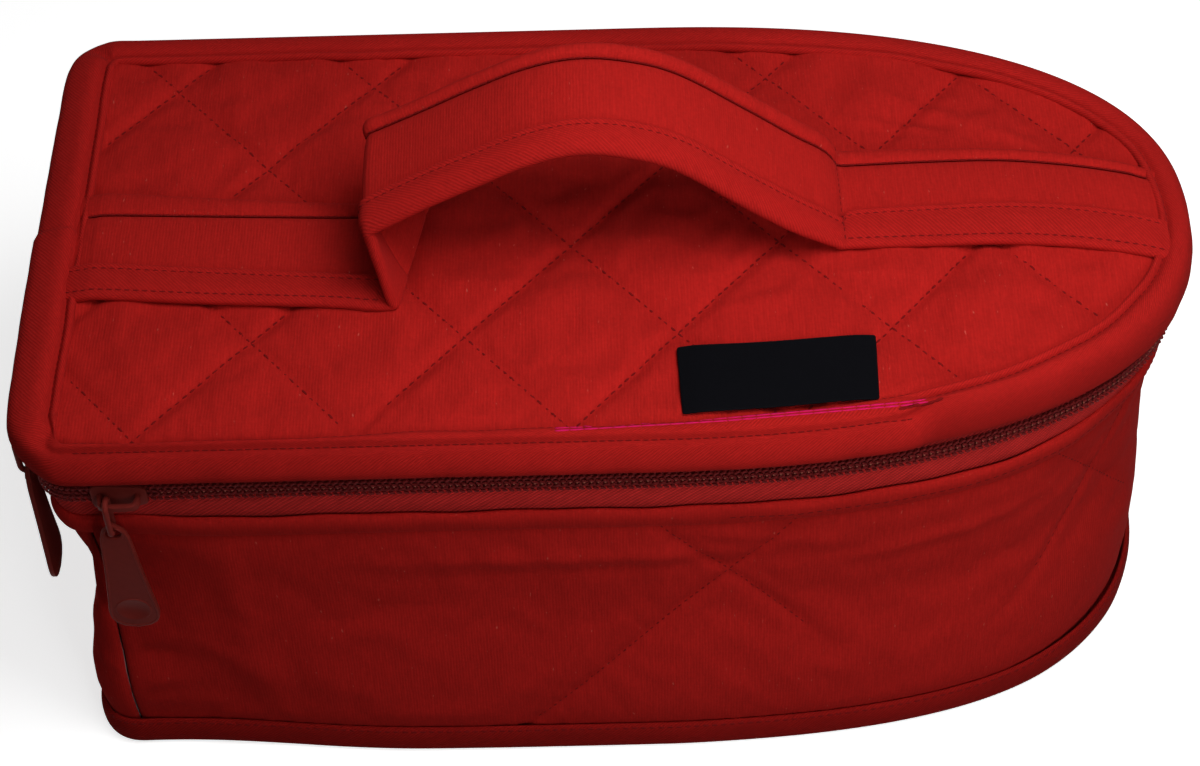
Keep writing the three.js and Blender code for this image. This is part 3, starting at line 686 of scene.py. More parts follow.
# %% Make the walls
WALL_FOOT, WALL_TOP = (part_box("gusset_outer")[k].z / MM for k in (0, 1))
WALL_FOLDS = (
    # x on the near side or else the walk, height, half the length and width, slant, relief
    *((near_walk(x), *fold) for x, *fold in (
        (-18, 94, 52, 3.6, 0.5, 1.3), (-10, 87, 46, 3, 2, -0.6), (40, 100, 30, 3, -12, 0.6),
        (96, 90, 34, 3.2, 6, 1.0), (-60, 60, 44, 9, 1, 0.5), (-110, 40, 26, 8, -14, 0.6),
        (140, 88, 22, 4, 14, 0.9), (150, 70, 20, 4, 8, -0.7), (120, 62, 26, 6, 20, 0.5),
        (104, 78, 3, 18, 4, 0.5), (60, 34, 44, 8, 4, 0.5), (158, 46, 22, 6, -10, 0.6))),
    (SEAM + 8, 32, 10, 3, 30, 0.8), (SEAM + 9, 46, 10, 3, 20, -0.7), (SEAM + 8, 62, 9, 3, 10, 0.7),
    (WALK - 300, 60, 60, 8, 3, 0.7), (WALK - 200, 88, 50, 6, -3, 0.8),
    (WALK - 180, 36, 46, 7, 2, 0.6), (WALK - 120, 94, 30, 4, 4, 0.8),
    (WALK - SEAM - 8, 50, 10, 3, -20, 0.7), (WALK - SEAM - 8, 30, 10, 3, -30, 0.7))
HEEL_FOLDS = (
    (40, 70, 30, 6, 12, 0.9), (60, 50, 20, 5, 30, 0.8), (-30, 60, 34, 7, -8, 0.8),
    (0, 92, 50, 5, 1, 0.7), (-60, 44, 24, 5, -26, 0.8), (SEAM - 6, 40, 8, 3, -20, 0.8))


def wall_inset(walk, height, quilted=1.0):
    """How far in the wall's cloth lies, in millimetres, before it is stuffed."""
    gaps = quilt_gaps(walk, height, WALL_CROSS, WALL_HALF)
    drawn = drawn_in(walk, height)
    puff = 1.3 * ease(height, WALL_FOOT, WALL_FOOT + 22) * (
        1 - ease(height, WALL_TOP - 14, WALL_TOP))
    lines = [1 - quilted * d * np.exp(-g / 9) for d, g in zip(drawn, gaps)]
    belly = ease(height, WALL_FOOT, WALL_FOOT + 16) * (1 - ease(height, 36, 74)) * ease(
        np.minimum(np.mod(walk, WALK), np.mod(-walk, WALK)), SEAM, SEAM + 50)
    spread = flare(walk) * (1 - ease(height, 14, 74)) + 1.2 * belly
    seam = 1.0 * (1 - ease(height, WALL_FOOT, WALL_FOOT + 8))
    return 3.2 + seam - puff * lines[0] * lines[1] + slack(walk, height) - spread


def wall(name, start, end, quilted, table, *stands_for):
    """A padded wall from one walk to another. quilted says how much its stitching shows."""
    bm = flat_cloth((start * MM, end * MM), (WALL_FOOT * MM, WALL_TOP * MM), 3 * MM, 3 * MM)

    def place(u, v):
        walk = u / MM
        pinch = 1.2 * np.exp(-np.minimum(walk - start, end - walk) / 2.5)
        return (*on_plan(walk, wall_inset(walk, v / MM, quilted) + pinch), v)

    def flat_of(spots):
        inset, walk = inset_of(*spots.T[:2])
        walk = np.where(walk - (start + end) / 2 > WALK / 2, walk - WALK, walk)
        return inset, walk, spots[:, 2] / MM

    def sewn(walk, height, width):
        return quilted * stitched(quilt_gaps(walk, height, WALL_CROSS, WALL_HALF), width,
                                  drawn_in(walk, height))

    def shape(spots):
        inset, walk, height = flat_of(spots)
        seam = sewn(walk, height, 1.6)
        lift = folds(walk, height, table) * ease(height, WALL_FOOT + 6, WALL_FOOT + 16) * (
            1 - ease(height, WALL_TOP - 12, WALL_TOP - 4)) - 0.8 * seam
        lift = np.where(inset - wall_inset(walk, height, quilted) > 2.5, 0.4 * seam, lift)
        return spots + np.column_stack([*outward(walk), 0 * walk]) * lift[:, None] * MM

    lay(bm, place)
    thicken(bm, 4.2 * MM)
    pad = piece(name, bm, cotton, lining)
    walk, height = flat_of(places(pad.data))[1:]
    hold = np.maximum.reduce([
        1 - ease(height, WALL_FOOT + 4, WALL_FOOT + 12), ease(height, WALL_TOP - 8, WALL_TOP - 3),
        1 - ease(np.minimum(walk - start, end - walk), 1, 5), 0.12 + 0 * walk,
        sewn(walk, height, 2)])
    stuff(pad, hold, 0.35, 0.003, 0.8 * MM)
    refine(pad, shape)
    faces = pad.data.polygons
    out_x, out_y = outward(inset_of(*np.array([f.center for f in faces]).T[:2])[1])
    facing = np.array([f.normal.x for f in faces]) * out_x + np.array(
        [f.normal.y for f in faces]) * out_y
    faces.foreach_set("material_index", (facing < -0.2).astype(np.int32))
    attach(pad, "case")
    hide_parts(*stands_for)
    return pad


gusset_pad = wall("gusset_pad", SEAM, WALK - SEAM, 1.0, WALL_FOLDS,
                  "gusset_outer", "gusset_wadding", "gusset_lining")
heel_pad = wall("heel_pad", -SEAM, SEAM, 0.0, HEEL_FOLDS,
                "heel_outer", "heel_wadding", "heel_lining")
print("wall pads", [len(o.data.polygons) for o in (gusset_pad, heel_pad)], "faces")

# %% [markdown]
# ## The floor of the case
# A stiff board keeps the foot flat. It lies on wadding inside the base cloth, and the
# same grey lining covers it. The board itself keeps its measured solid.

# %% Make the base


def floor_cloth(name, material, node_name, thick, bulge, slot, inset=8.8):
    """A cloth under or over the board, which rises by bulge in its middle, and its area."""
    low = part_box(node_name)[1].z / MM - thick - bulge
    bm = plan_sheet(inset, 4, lambda x, y, far: low + bulge * ease(far, inset, inset + 14))
    area = sum(f.calc_area() for f in bm.faces)
    thicken(bm, -thick * MM)
    return piece(name, bm, material, body="case", stands_for=(node_name,), slot=slot), area


def recolour(name, material):
    """Gives one of the measured solids, shown as it is, its finish."""
    nodes[name].data.materials.clear()
    nodes[name].data.materials.append(material)


base_cloth, area = floor_cloth("base_cloth", cotton, "base_outer", 0.7, 0.3, "red_cotton")
print("base cloth", round(area * 1e4), "cm2")
base_wadding, area = floor_cloth("base_wadding_pad", wadding, "base_wadding", 2.2, 0.4, "wadding")
floor_lining, area = floor_cloth("floor_lining", lining, "base_lining", 0.5, 0.2, "lining", 6.4)
recolour("base_board", board)

# %% [markdown]
# ## Bindings
# The lid's edge is bound with a bias strip. On the near side it is a tall roll with a
# flat strip inside it. Round the nose, the far side and the heel it lies as a broad
# face over the edge, with a stitched ditch and a small roll along its inner edge. The
# strip's ends lap over each other in the middle of the heel.

# %% Make the lid's binding
TURN_IN = near_walk(84)
INNER_EDGE = np.array([
    # walk, and how far in the binding's inner edge lies
    (0, 12.3), (71, 12.3), (78.3, 12.0), (82, 11.6), (85.7, 10.6), (88.1, 9.0), (89.3, 7.4),
    (90.8, 3.1), (93, 3.2), (107, 3.0),
    *((near_walk(x), far) for x, far in (
        (-89, 3.2), (-56, 4.7), (-6, 4.9), (22, 6.2), (50, 7.6), (78, 7.8), (107, 8.4),
        (138, 9.8), (155, 10.6))),
    (WALK / 2, 10.2), (WALK / 2 + 60, 11.4), (WALK - 300, 12.2), (WALK, 12.3), (WALK + 9, 12.3)])


def inner_edge(walk):
    return np.interp(walk, *INNER_EDGE.T) + ripple(walk, 0.25, 31, 47)


def near_roll(walk):
    """1 where the binding is a tall near roll with a flat strip, 0 where it is a broad face."""
    return ease(walk, 84, 92) * (1 - ease(walk, TURN_IN - 5, TURN_IN + 5))


def lid_binding_section(walk):
    edge, tall = inner_edge(walk), near_roll(walk)
    puff = ripple(walk, 0.3, 23, 37, 61) + 0.12 * np.sin(walk / 3.1 * math.tau)
    lap = 0.8 * (1 - ease(walk, 10, 70)) * (walk < WALK / 2)
    lap = lap + 3.4 * (1 - ease(np.minimum(walk, np.abs(WALK - walk)), 62, 98))
    slit = np.exp(-((walk - TURN_IN + 1) / 4.5) ** 2)
    tuck = 1.5 * np.exp(-((walk - WALK + 82) / 3) ** 2) + 1.5 * np.exp(-((walk - 86) / 3) ** 2)

    def either(a, b):
        return tall * a + (1 - tall) * b

    return [
        (3.2, 137.4), (1.5, 136.0),
        (either(-1.0, 0.1) - 0.1 * lap, either(136.8, 136.3) + 0.3 * puff),
        (either(-2.6, -0.7) - 0.4 * lap - puff, either(138.4, 139.2)),
        (either(-2.9, -0.9) - 0.8 * lap - puff, either(141.0, 143.2)),
        (either(-1.6, -0.5) - lap - 0.6 * puff, either(144.9, 147.0)),
        (either(0.2, 0.5) - lap + 0.8 * slit, either(148.4, 150.2) + 0.4 * lap),
        (either(1.0, 2.0) + 1.2 * slit, either(148.2, 151.7) + 0.4 * lap - 1.6 * slit - 1.2 * tuck),
        (either(1.4, 0.40 * edge) + 0.5 * slit, either(150.3, 152.5) + 0.5 * lap - 1.8 * tuck),
        (either(1.9, edge - 4.6), either(151.1, 152.3) + 0.5 * lap - 1.8 * tuck + 0.4 * puff),
        (either(0.60 * edge + 0.6, edge - 3.4), either(151.2, 151.6) + 0.3 * lap - tuck),
        (either(0.8 * edge, edge - 2.8), either(151.0, 150.1)),
        (either(edge - 0.6, edge - 2.3), either(150.9, 151.8)),
        (either(edge - 0.3, edge - 1.2), either(150.7, 152.6) + 0.3 * puff),
        (edge, either(150.3, 151.5)), (edge - 0.1, 149.3), (0.8 * edge - 0.2, 148.9),
        (np.minimum(3.3, 0.75 * edge), 148.4), (3.2, 143.0)]


lid_binding = piece("lid_rolled_binding", sleeve(0, WALK + 6, 2.5, lid_binding_section), twill,
                    body="lid", stands_for=("lid_binding",), slot="red_twill", rounder=1,
                    close=True)

# %% [markdown]
# The foot has a plain binding roll, and a narrow hem turns over the top of the wall and
# covers the edge of the zip's tape.

# %% Make the base binding and the hem


def base_binding_section(walk):
    puff = ripple(walk, 0.35, 29, 43, 71)
    out = flare(walk)
    return [(7.9, 0.1), (3.0 - out, 0.0), (0.9 - out, 0.1), (-0.3 - out, 1.3),
            (-0.7 - puff - out, 4.2), (-0.6 - puff - out, 8.2), (-0.1 - out, 11.0),
            (0.9 - out, 12.3 + 0.4 * puff), (1.7 - out, 11.9), (1.9 - out, 9.0),
            (1.8 - out, 3.4), (2.6 - out, 1.4), (7.9, 1.3)]


def hem_section(walk):
    sunk = 0.8 * slack(walk, 113 + 0 * walk)
    puff = ripple(walk, 0.3, 29, 43)
    top = ripple(walk, 0.5, 53, 27)
    return [(inset - full * puff + sunk, height + rise * top) for inset, height, full, rise in (
        (2.6, 107.6, 0, 0), (1.9, 108.0, 0, 0), (1.4, 109.4, 1, 0), (0.7, 111.6, 1, 0),
        (0.4, 114.0, 1, 0), (0.7, 115.8, 1, 1), (1.5, 116.8, 0, 1), (2.4, 116.8, 0, 1),
        (2.8, 115.9, 0, 1), (2.8, 112.0, 0, 0))]


ZIP_START = 36


def zip_sleeve(section, step=3):
    """A band that follows the zip from end to end."""
    return sleeve(ZIP_START, WALK - ZIP_START, step, section)


# The foot's roll takes the twill with the painted shade.
base_roll = piece("base_rolled_binding", sleeve(0, WALK, 2.5, base_binding_section), foot_twill_painted_shade,
                  body="case", stands_for=("base_binding",), slot="red_twill", rounder=1)
hem = piece("wall_hem", zip_sleeve(hem_section, 2.5), cotton, body="case",
            stands_for=("gusset_hem",), slot="red_cotton", rounder=1, close=True)

# %% [markdown]
# ## The coil zip
# Two knitted tapes carry a nylon coil each. A coil is held to its tape by rows of
# thread that look like a braid, and where the coils meet, pale dots of the cord inside
# them show. The teeth are small beads 2 mm apart, made straight from an operator.

# %% Make the zip's tapes
ZIP_LINE = (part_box("zip_coil_lower")[1].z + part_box("zip_coil_upper")[0].z) / 2 / MM


def tape_section(outer_low, outer_high, low, high, sinks):
    def section(walk):
        sunk = sinks * slack(walk, 113 + 0 * walk)
        return [(outer_low + sunk, low), (outer_high, high), (outer_high + 0.8, high),
                (outer_low + 0.8 + sunk, low)]
    return section


def tape(name, section, body, node_name):
    made = piece(name, zip_sleeve(section), knit_with_painted_light, body=body, stands_for=(node_name,),
                 slot="zip_tape", close=True)


tape("lower_zip_tape", tape_section(3.1, 3.3, 110.5, ZIP_LINE - 1.2, 0.8), "case",
     "zip_tape_lower")
tape("upper_zip_tape", tape_section(3.3, 3.3, ZIP_LINE + 1.2, 142.6, 0), "lid",
     "zip_tape_upper")

# %% [markdown]
# Beads do for the coil's loops, the braid over them and every stitch on the case. One
# helper makes a bead: a small ball drawn out along the seam and pressed flat.

# %% Sew beads and stitches
TOOTH = 2.0
bm = bmesh.new()
bmesh.ops.create_uvsphere(bm, u_segments=6, v_segments=4, radius=0.5 * MM)
ball = bpy.data.meshes.new("ball")
bm.to_mesh(ball)
bm.free()
BALL = places(ball)


def bead(bm, spot, ahead, out, length, width, height):
    """Adds the ball drawn out along ahead and pressed to a height along out, in millimetres."""
    ahead = Vector(ahead).normalized()
    side = ahead.cross(Vector(out)).normalized()
    turned = np.array((side * width, side.cross(ahead) * height, ahead * length))
    ball.vertices.foreach_set("co", (BALL @ turned + np.array(spot)).ravel())
    bm.from_mesh(ball)


def coil(name, height, flip, body, node_name):
    """A core with a loop for each tooth and two slanting threads of braid over it."""
    bm = zip_sleeve(lambda walk: [
        (3.2, height - 0.9), (2.7, height), (3.2, height + 0.9), (4.2, height + 0.9),
        (4.2, height - 0.9)])
    bmesh.ops.holes_fill(bm, edges=[e for e in bm.edges if e.is_boundary], sides=0)
    for tooth in np.arange(ZIP_START + 1, WALK - ZIP_START - 1, TOOTH):
        for shift, inset, rise, slant, size in (
                (0, 2.9, 0.0, 0.35, (2.9, 1.2, 1.3)), (0.3, 2.2, 1.0, 2.0, (1.9, 0.95, 0.9)),
                (1.1, 2.2, -0.6, -2.0, (1.9, 0.95, 0.9))):
            walk = tooth + shift
            x, y = on_plan(walk, inset)
            far_x, far_y = on_plan(walk + 1, inset)
            ahead = Vector((far_x - x, far_y - y, 0)) * slant + Vector((0, 0, flip * MM))
            bead(bm, (x, y, (height + flip * rise) * MM), ahead, (*outward(walk), 0), *size)
    return piece(name, bm, coil_thread, body=body, stands_for=(node_name,), slot="zip_coil")


coil_lower = coil("lower_coil", ZIP_LINE - 1.55, -1, "case", "zip_coil_lower")
coil_upper = coil("upper_coil", ZIP_LINE + 1.55, 1, "lid", "zip_coil_upper")
bm = bmesh.new()
for walk in np.arange(118, WALK - ZIP_START - 1, TOOTH):
    bead(bm, (*on_plan(walk, 2.45), (ZIP_LINE - 0.1) * MM), (0, 0, 1), (*outward(walk), 0),
         0.8, 0.7, 0.6)
piece("coil_dots", bm, pale_thread, body="case", slot="zip_coil")
# The zip's ends take the same knit, whose colour holds painted light.
for name in ("zip_end_near", "zip_end_far"):
    recolour(name, knit_with_painted_light)
print("coils", [len(o.data.polygons) for o in (coil_lower, coil_upper)], "faces")

# %% [markdown]
# ## The hinge
# Between the ends of the zip the wall's cotton runs on up into the lid. It is the
# hinge between the case and the lid, and it is not set on either body.

# %% Make the heel's cloth hinge
HINGE_LOW, HINGE_HIGH = 111, 137.5
bm = flat_cloth((-38 * MM, 38 * MM), (HINGE_LOW * MM, HINGE_HIGH * MM), 2.5 * MM, 1.5 * MM)


def hinge_place(u, v):
    bow = np.sin((v / MM - HINGE_LOW) / (HINGE_HIGH - HINGE_LOW) * math.pi)
    return -HALF_LENGTH + (2.1 + bow + ripple(u / MM, 0.25, 17, 29)) * MM, -u, v


lay(bm, hinge_place)
thicken(bm, 1.1 * MM)
hinge_cloth = piece("heel_hinge_cloth", bm, cotton, slot="red_cotton", stands_for=("heel_hinge",))
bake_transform(hinge_cloth)

# %% [markdown]
# ## The strap and its handle
# The strap lies on the lid from the heel to the nose and lifts off between two creases
# to make the handle. Its core is the same cotton. A twill tape wraps the near edge, and
# the far edge is a rolled fold. The table follows its middle line as seen from the near
# side, and gives at each place where its four long edges lie across the lid.

# %% Make the strap
STRAP = smooth_path([
    # x, z, far edge, far fold, tape edge, near edge, lead, drop
    (-161.5, 149.8, 14.6, 5.6, -16.0, -28.2, 0, 0),
    (-156, 151.3, 14.2, 5.1, -16.4, -28.8, 0, 0),
    (-150, 152.0, 13.8, 4.8, -16.8, -29.1, 0, 0),
    (-120, 151.9, 10.8, 3.4, -19.6, -31.6, 0, 0),
    (-84, 151.8, 7.6, 1.8, -22.6, -34.0, 0, 0),
    (-70, 151.9, 7.0, 1.4, -23.8, -35.6, 0.08, 0),
    (-60.5, 152.0, 7.0, 1.4, -23.9, -36.0, 0.17, 0),
    (-57.8, 152.7, 7.0, 1.4, -23.9, -36.1, 0.19, 0),
    (-58.6, 154.6, 7.0, 1.4, -23.8, -36.0, 0.19, 0.01),
    (-62.3, 161.0, 7.2, 1.7, -23.4, -35.2, 0.14, 0.05),
    (-66.9, 170.0, 7.6, 2.5, -22.2, -33.2, 0.08, 0.12),
    (-70.2, 178.6, 8.0, 3.0, -21.2, -31.2, 0.03, 0.18),
    (-70.9, 181.2, 8.1, 3.1, -20.8, -30.8, 0.02, 0.19),
    (-69.9, 182.6, 8.2, 3.3, -20.7, -30.6, 0.01, 0.18),
    (-65.0, 184.9, 8.6, 4.0, -20.0, -30.0, 0, 0.15),
    (-54, 190.0, 9.8, 5.2, -18.8, -28.8, 0, 0.12),
    (-40, 196.4, 11.4, 6.6, -17.6, -27.4, 0, 0.12),
    (-25, 202.4, 13.0, 8.0, -16.2, -25.8, 0, 0.11),
    (-10.9, 204.7, 14.4, 9.2, -14.8, -24.2, 0, 0.11),
    (3, 202.2, 15.8, 10.4, -13.4, -23.0, 0, 0.12),
    (18, 195.2, 17.2, 11.8, -12.2, -21.4, 0, 0.14),
    (38, 178.4, 19.4, 13.8, -10.2, -19.6, 0, 0.17),
    (52, 166.4, 21.2, 15.2, -8.8, -18.4, 0, 0.16),
    (60.6, 159.4, 22.4, 16.4, -7.6, -17.4, 0, 0.15),
    (64.3, 155.6, 22.8, 16.8, -7.2, -17.0, 0, 0.10),
    (65.6, 153.2, 23.4, 17.4, -5.4, -16.8, 0, 0.03),
    (68, 152.1, 24.2, 18.1, -3.0, -16.1, 0, 0),
    (74, 151.9, 24.4, 18.4, -2.0, -15.8, 0, 0),
    (92, 151.9, 24.4, 19.0, -1.2, -15.6, 0, 0),
    (115, 151.9, 23.8, 19.0, -0.7, -15.6, 0, 0),
    (135, 151.9, 21.0, 16.4, -2.6, -17.6, 0, 0),
    (151, 151.7, 17.2, 12.9, -5.9, -20.8, 0, 0),
    (157, 150.9, 15.6, 11.4, -7.2, -21.8, 0, 0),
    (162, 149.6, 14.6, 10.8, -8.0, -22.6, 0, 0)], 1.2)
far, fold, tape_edge, near, strap_lead, strap_drop = STRAP[:, 2:].T
strap_path = np.column_stack([
    STRAP[:, 0], 0 * far, STRAP[:, 1] - strap_drop * (far + near) / 2]) * MM
strap_walk = walked_along(strap_path) / MM
lifted = ease(STRAP[:, 1], 153, 170)


def strap_piece(name, material, node_name, slot, corners):
    """A strip of the strap. corners are (across, rise) in millimetres at every place."""
    section = [(across * MM, rise * MM) for across, rise in corners]
    bm = swept(strap_path, (0, 1, 0), section, lead=strap_lead, drop=strap_drop)
    return piece(name, bm, material, body="lid", stands_for=(node_name,), slot=slot,
                 rounder=1, close=True)


waves = ripple(strap_walk, 0.25, 41, 27, 63)
mid = (fold + tape_edge) / 2
core = strap_piece("strap_core", cotton, "handle_strap", "red_cotton", [
    (fold - 0.3, -0.2), (fold - 1.0, 0.8), (fold - 2.6, 1.35), (mid, 1.5 + waves),
    (tape_edge + 2.0, 1.25), (tape_edge - 0.6, 1.0), (tape_edge - 0.6, -1.1),
    (tape_edge + 2.0, -1.3), (mid, -1.35), (fold - 2.2, -1.3), (fold - 0.7, -1.1),
    (fold - 0.2, -0.5)])
mid = (far + fold) / 2
full = 0.7 + 0.3 * lifted
far_roll = strap_piece("strap_far_roll", cotton, "strap_binding_far", "red_twill", [
    (fold - 0.1, 0.3), (fold + 0.2, 1.4 * full), (fold + 1.2, 2.1 * full),
    (mid, 2.4 * full + waves), (far - 1.1, 1.9 * full), (far, 0.6 * full), (far - 0.1, -0.7),
    (far - 1.2, -1.4), (mid, -1.5), (fold + 0.3, -1.3), (fold, -0.5)])
mid = (near + tape_edge) / 2
droop = 1.6 * lifted
near_tape = strap_piece("strap_near_tape", twill, "strap_binding_near", "red_twill", [
    (tape_edge + 0.6, 1.0), (tape_edge + 0.4, 2.1), (tape_edge - 0.5, 2.5), (tape_edge - 1.6, 1.7),
    (tape_edge - 2.8, 2.1), (mid, 2.2 - 0.2 * droop + 0.6 * waves), (near + 3.6, 2.1 - 0.4 * droop),
    (near + 2.4, 1.6 - 0.5 * droop), (near + 1.2, 1.9 - 0.8 * droop), (near + 0.1, 1.2 - droop),
    (near - 0.2, 0.1 - droop), (near + 0.3, -1.0 - droop), (near + 1.6, -1.6 - droop),
    (mid, -1.7 - 0.4 * droop), (tape_edge - 0.6, -1.6), (tape_edge + 0.4, -1.2)])
print("strap path", round(strap_walk[-1]), "mm")

# %% [markdown]
# ## The label
# A small woven label is sewn down at its two folded ends. It is left bare.

# %% Make the label
LABEL_CORNERS = np.array([(16.9, -77.2), (72.2, -73.4), (73.1, -49.1), (16.0, -52.0)])
LABEL_LONG, LABEL_DEEP = 56, 24.6
LABEL_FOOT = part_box("label")[0].z / MM


def label_place(u, v):
    """Spreads the label between its corners, with small waves between its sewn ends."""
    u, v = u / MM, v / MM
    a, b, c, d = LABEL_CORNERS
    along, up = u[:, None] / LABEL_LONG, v[:, None] / LABEL_DEEP
    x, y = (a * (1 - along) * (1 - up) + b * along * (1 - up) + c * along * up
            + d * (1 - along) * up).T
    wave = 0.35 * np.sin(u / 19) * np.sin(v / LABEL_DEEP * math.pi) + 0.25 * np.cos(u / 8)
    z = LABEL_FOOT + 1.0 + (wave + 0.3) * ease(np.minimum(u, LABEL_LONG - u), 0, 6)
    return x * MM, y * MM, z * MM


bm = flat_cloth((0, LABEL_LONG * MM), (0, LABEL_DEEP * MM), 1.6 * MM, 1.6 * MM)
lay(bm, label_place)
thicken(bm, 0.5 * MM)
label = piece("bare_label", bm, satin, body="lid", stands_for=("label",), slot="label_weave",
              rounder=1)

# %% [markdown]
# ## Stitches
# Every seam is sewn with thread. The stitches are laid on the finished cloth by
# looking straight at it from outside and taking the first point that is met.

# %% Sew the seams


def skin(*objects):
    """Search trees for the surfaces of some pieces, as they will be rendered."""
    graph = bpy.context.evaluated_depsgraph_get()
    return [BVHTree.FromObject(o, graph) for o in objects]


def spaced(points, gap):
    """Points a gap apart along a line of points, all in millimetres."""
    points = np.asarray(points, float)
    length = walked_along(points)
    steps = np.arange(gap / 2, length[-1], gap)
    return np.column_stack([np.interp(steps, length, column) for column in points.T])


def sew(bm, trees, points, look, gap=3.0, size=(2.2, 0.85, 0.45), sunk=0.08):
    """Stitches along points in millimetres, sewn into what is met when looking from them
    along look(point)."""
    points = spaced(points, gap) * MM
    sewn = []
    for spot in points:
        way = Vector(look(spot)).normalized()
        start = Vector(spot) - way * 15 * MM
        hits = [hit for hit in (tree.ray_cast(start, way, 30 * MM) for tree in trees) if hit[0]]
        sewn.append(min(hits, key=lambda hit: hit[3])[:2] if hits else None)
    for k, hit in enumerate(sewn):
        other = sewn[k + 1] if k + 1 < len(sewn) else sewn[k - 1]
        if hit and other and (hit[0] - other[0]).length > 0.2 * gap * MM:
            bead(bm, hit[0] - hit[1] * sunk * MM, hit[0] - other[0], hit[1], *size)


def down(spot):
    return 0, 0, -1


def inward(spot):
    x, y = outward(inset_of(*spot[:2, None])[1])
    return -x[0], -y[0], 0


def around(start, end, inset, height, step=4):
    """Points along the walk, at a height and an inset that may be a function of the walk."""
    walk = np.arange(start, end, step)
    x, y = on_plan(walk, inset(walk) if callable(inset) else inset)
    return np.column_stack([x / MM, y / MM, height + 0 * walk])


def quilt_lines(cross, half, wide, high):
    """The straight lines of a diamond quilting that cross a rectangle, as point lists."""
    lines = []
    for sign in (1, -1):
        for k in range(-14, 15):
            u = np.arange(wide[0], wide[1], 1.0)
            v = cross[1] + half[1] * sign * (2 * k - (u - cross[0]) / half[0])
            kept = (v > high[0]) & (v < high[1])
            if kept.sum() > 6:
                lines.append(np.column_stack([u[kept], v[kept]]))
    return lines


def under_strap(x, y):
    """Where the strap covers the lid."""
    near, far = (np.interp(x, (-161, -84, -60, 60, 71, 115, 161), edge) for edge in (
        (-28, -34, -200, -200, -16, -16, -23), (15, 8, -99, -99, 24, 24, 14)))
    return (y > near - 1) & (y < far + 1)


def runs(line, shown, least):
    """The stretches of a line that are shown and have more than the least points."""
    cuts = np.flatnonzero(np.diff(np.flatnonzero(shown)) > 1) + 1
    return [run for run in np.split(line[shown], cuts) if len(run) > least]


bm = bmesh.new()
tree = skin(lid_pad)
for line in quilt_lines(LID_CROSS, LID_HALF, (-162, 164), (-84, 84)):
    inset, walk = inset_of(*line.T * MM)
    for run in runs(line, (inset > inner_edge(walk) + 0.5) & ~under_strap(*line.T), 4):
        sew(bm, tree, np.column_stack([run, 0 * run[:, 0] + 150]), down)
lid_quilting = piece("lid_quilting", bm, seam_thread, body="lid", slot="red_cotton")

bm = bmesh.new()
tree = skin(gusset_pad)
for line in quilt_lines(WALL_CROSS, WALL_HALF, (SEAM + 2, WALK - SEAM - 2), (14, 108)):
    for run in runs(line, drawn_in(*line.T)[int(line[1, 1] > line[0, 1])] > 0.3, 6):
        x, y = on_plan(run[:, 0])
        sew(bm, tree, np.column_stack([x / MM, y / MM, run[:, 1]]), inward, gap=2.6,
            size=(1.7, 0.65, 0.4))
wall_quilting = piece("wall_quilting", bm, seam_thread, body="case", slot="red_cotton")

bm = bmesh.new()
tree = skin(lid_binding)
# The stitches in the binding's ditches are long and close, so that they run into one dark line:
# real stitching, with the shade in the ditch painted in by the thread's dark colour.
for start, end, inset in ((96, TURN_IN, 1.0), (96, TURN_IN, lambda w: inner_edge(w) - 0.3),
                          (TURN_IN, WALK - 6, lambda w: inner_edge(w) - 2.8),
                          (8, 80, lambda w: inner_edge(w) - 2.8)):
    sew(bm, tree, around(start, end, inset, 152), down, gap=2.4, size=(2.3, 0.6, 0.4))
# Painted shade: a solid dark line of thread on the surface along the slit at the near strip's end
# stands for the shade inside the slit.
sew(bm, tree, around(near_walk(78), near_walk(91), 2.8, 152, step=1), down, gap=2.0,
    size=(3.2, 1.1, 0.5), sunk=0)
binding_stitches = piece("lid_binding_stitches", bm, seam_thread, body="lid", slot="red_twill")

bm = bmesh.new()
sew(bm, skin(hem), around(near_walk(30), WALK - ZIP_START - 3, 1, 112.0), inward, gap=2.8)
sew(bm, skin(base_roll), around(0, WALK, 0, 10.9), inward, gap=2.8)
wall_stitches = piece("wall_stitches", bm, seam_thread, body="case", slot="red_cotton")


def sew_strap(bm, across, rise, keep=slice(None), gap=2.6, size=(1.9, 0.6, 0.45)):
    """Stitches along a line of the strap, at a place across it and a rise above its path."""
    ahead = np.gradient(strap_path, axis=0)
    ahead /= np.linalg.norm(ahead, axis=1)[:, None]
    out = np.cross(ahead, (0, 1, 0))
    spots = strap_path / MM + np.column_stack([0 * across, across, 0 * across]) + out * rise
    spots[:, 0] += across * strap_lead
    spots[:, 2] += across * strap_drop
    both = spaced(np.column_stack([spots, out * 0.001])[keep], gap)
    for a, b in zip(both, both[1:]):
        bead(bm, a[:3] * MM, b[:3] - a[:3], a[3:], *size)


bm = bmesh.new()
sew_strap(bm, tape_edge - 1.6, 1.85)
# The stitches along the far fold overlap into one dark line: stitching, and painted shade for the
# groove beside the fold.
sew_strap(bm, fold - 0.3, 0.6, gap=2.4, size=(2.7, 0.7, 0.5))
flat_part = STRAP[:, 1] < 152.6
for part in (flat_part & (STRAP[:, 0] < 0), flat_part & (STRAP[:, 0] > 0)):
    sew_strap(bm, near + 2.4, 1.75, part)
strap_stitches = piece("strap_stitches", bm, seam_thread, body="lid", slot="red_twill")

bm = bmesh.new()
sew(bm, skin(core, far_roll, near_tape), [(66.0, 23.0, 160), (66.3, 4, 160), (66.8, -15.0, 160)],
    down, gap=2.2, size=(1.8, 0.7, 0.5))
piece("crease_stitches", bm, seam_thread, body="lid", slot="red_twill")
print("stitch faces", sum(len(o.data.polygons) for o in (
    lid_quilting, wall_quilting, binding_stitches, wall_stitches, strap_stitches)))

# %% [markdown]
# A thin coloured thread lies along part of the near strip, beside the label.

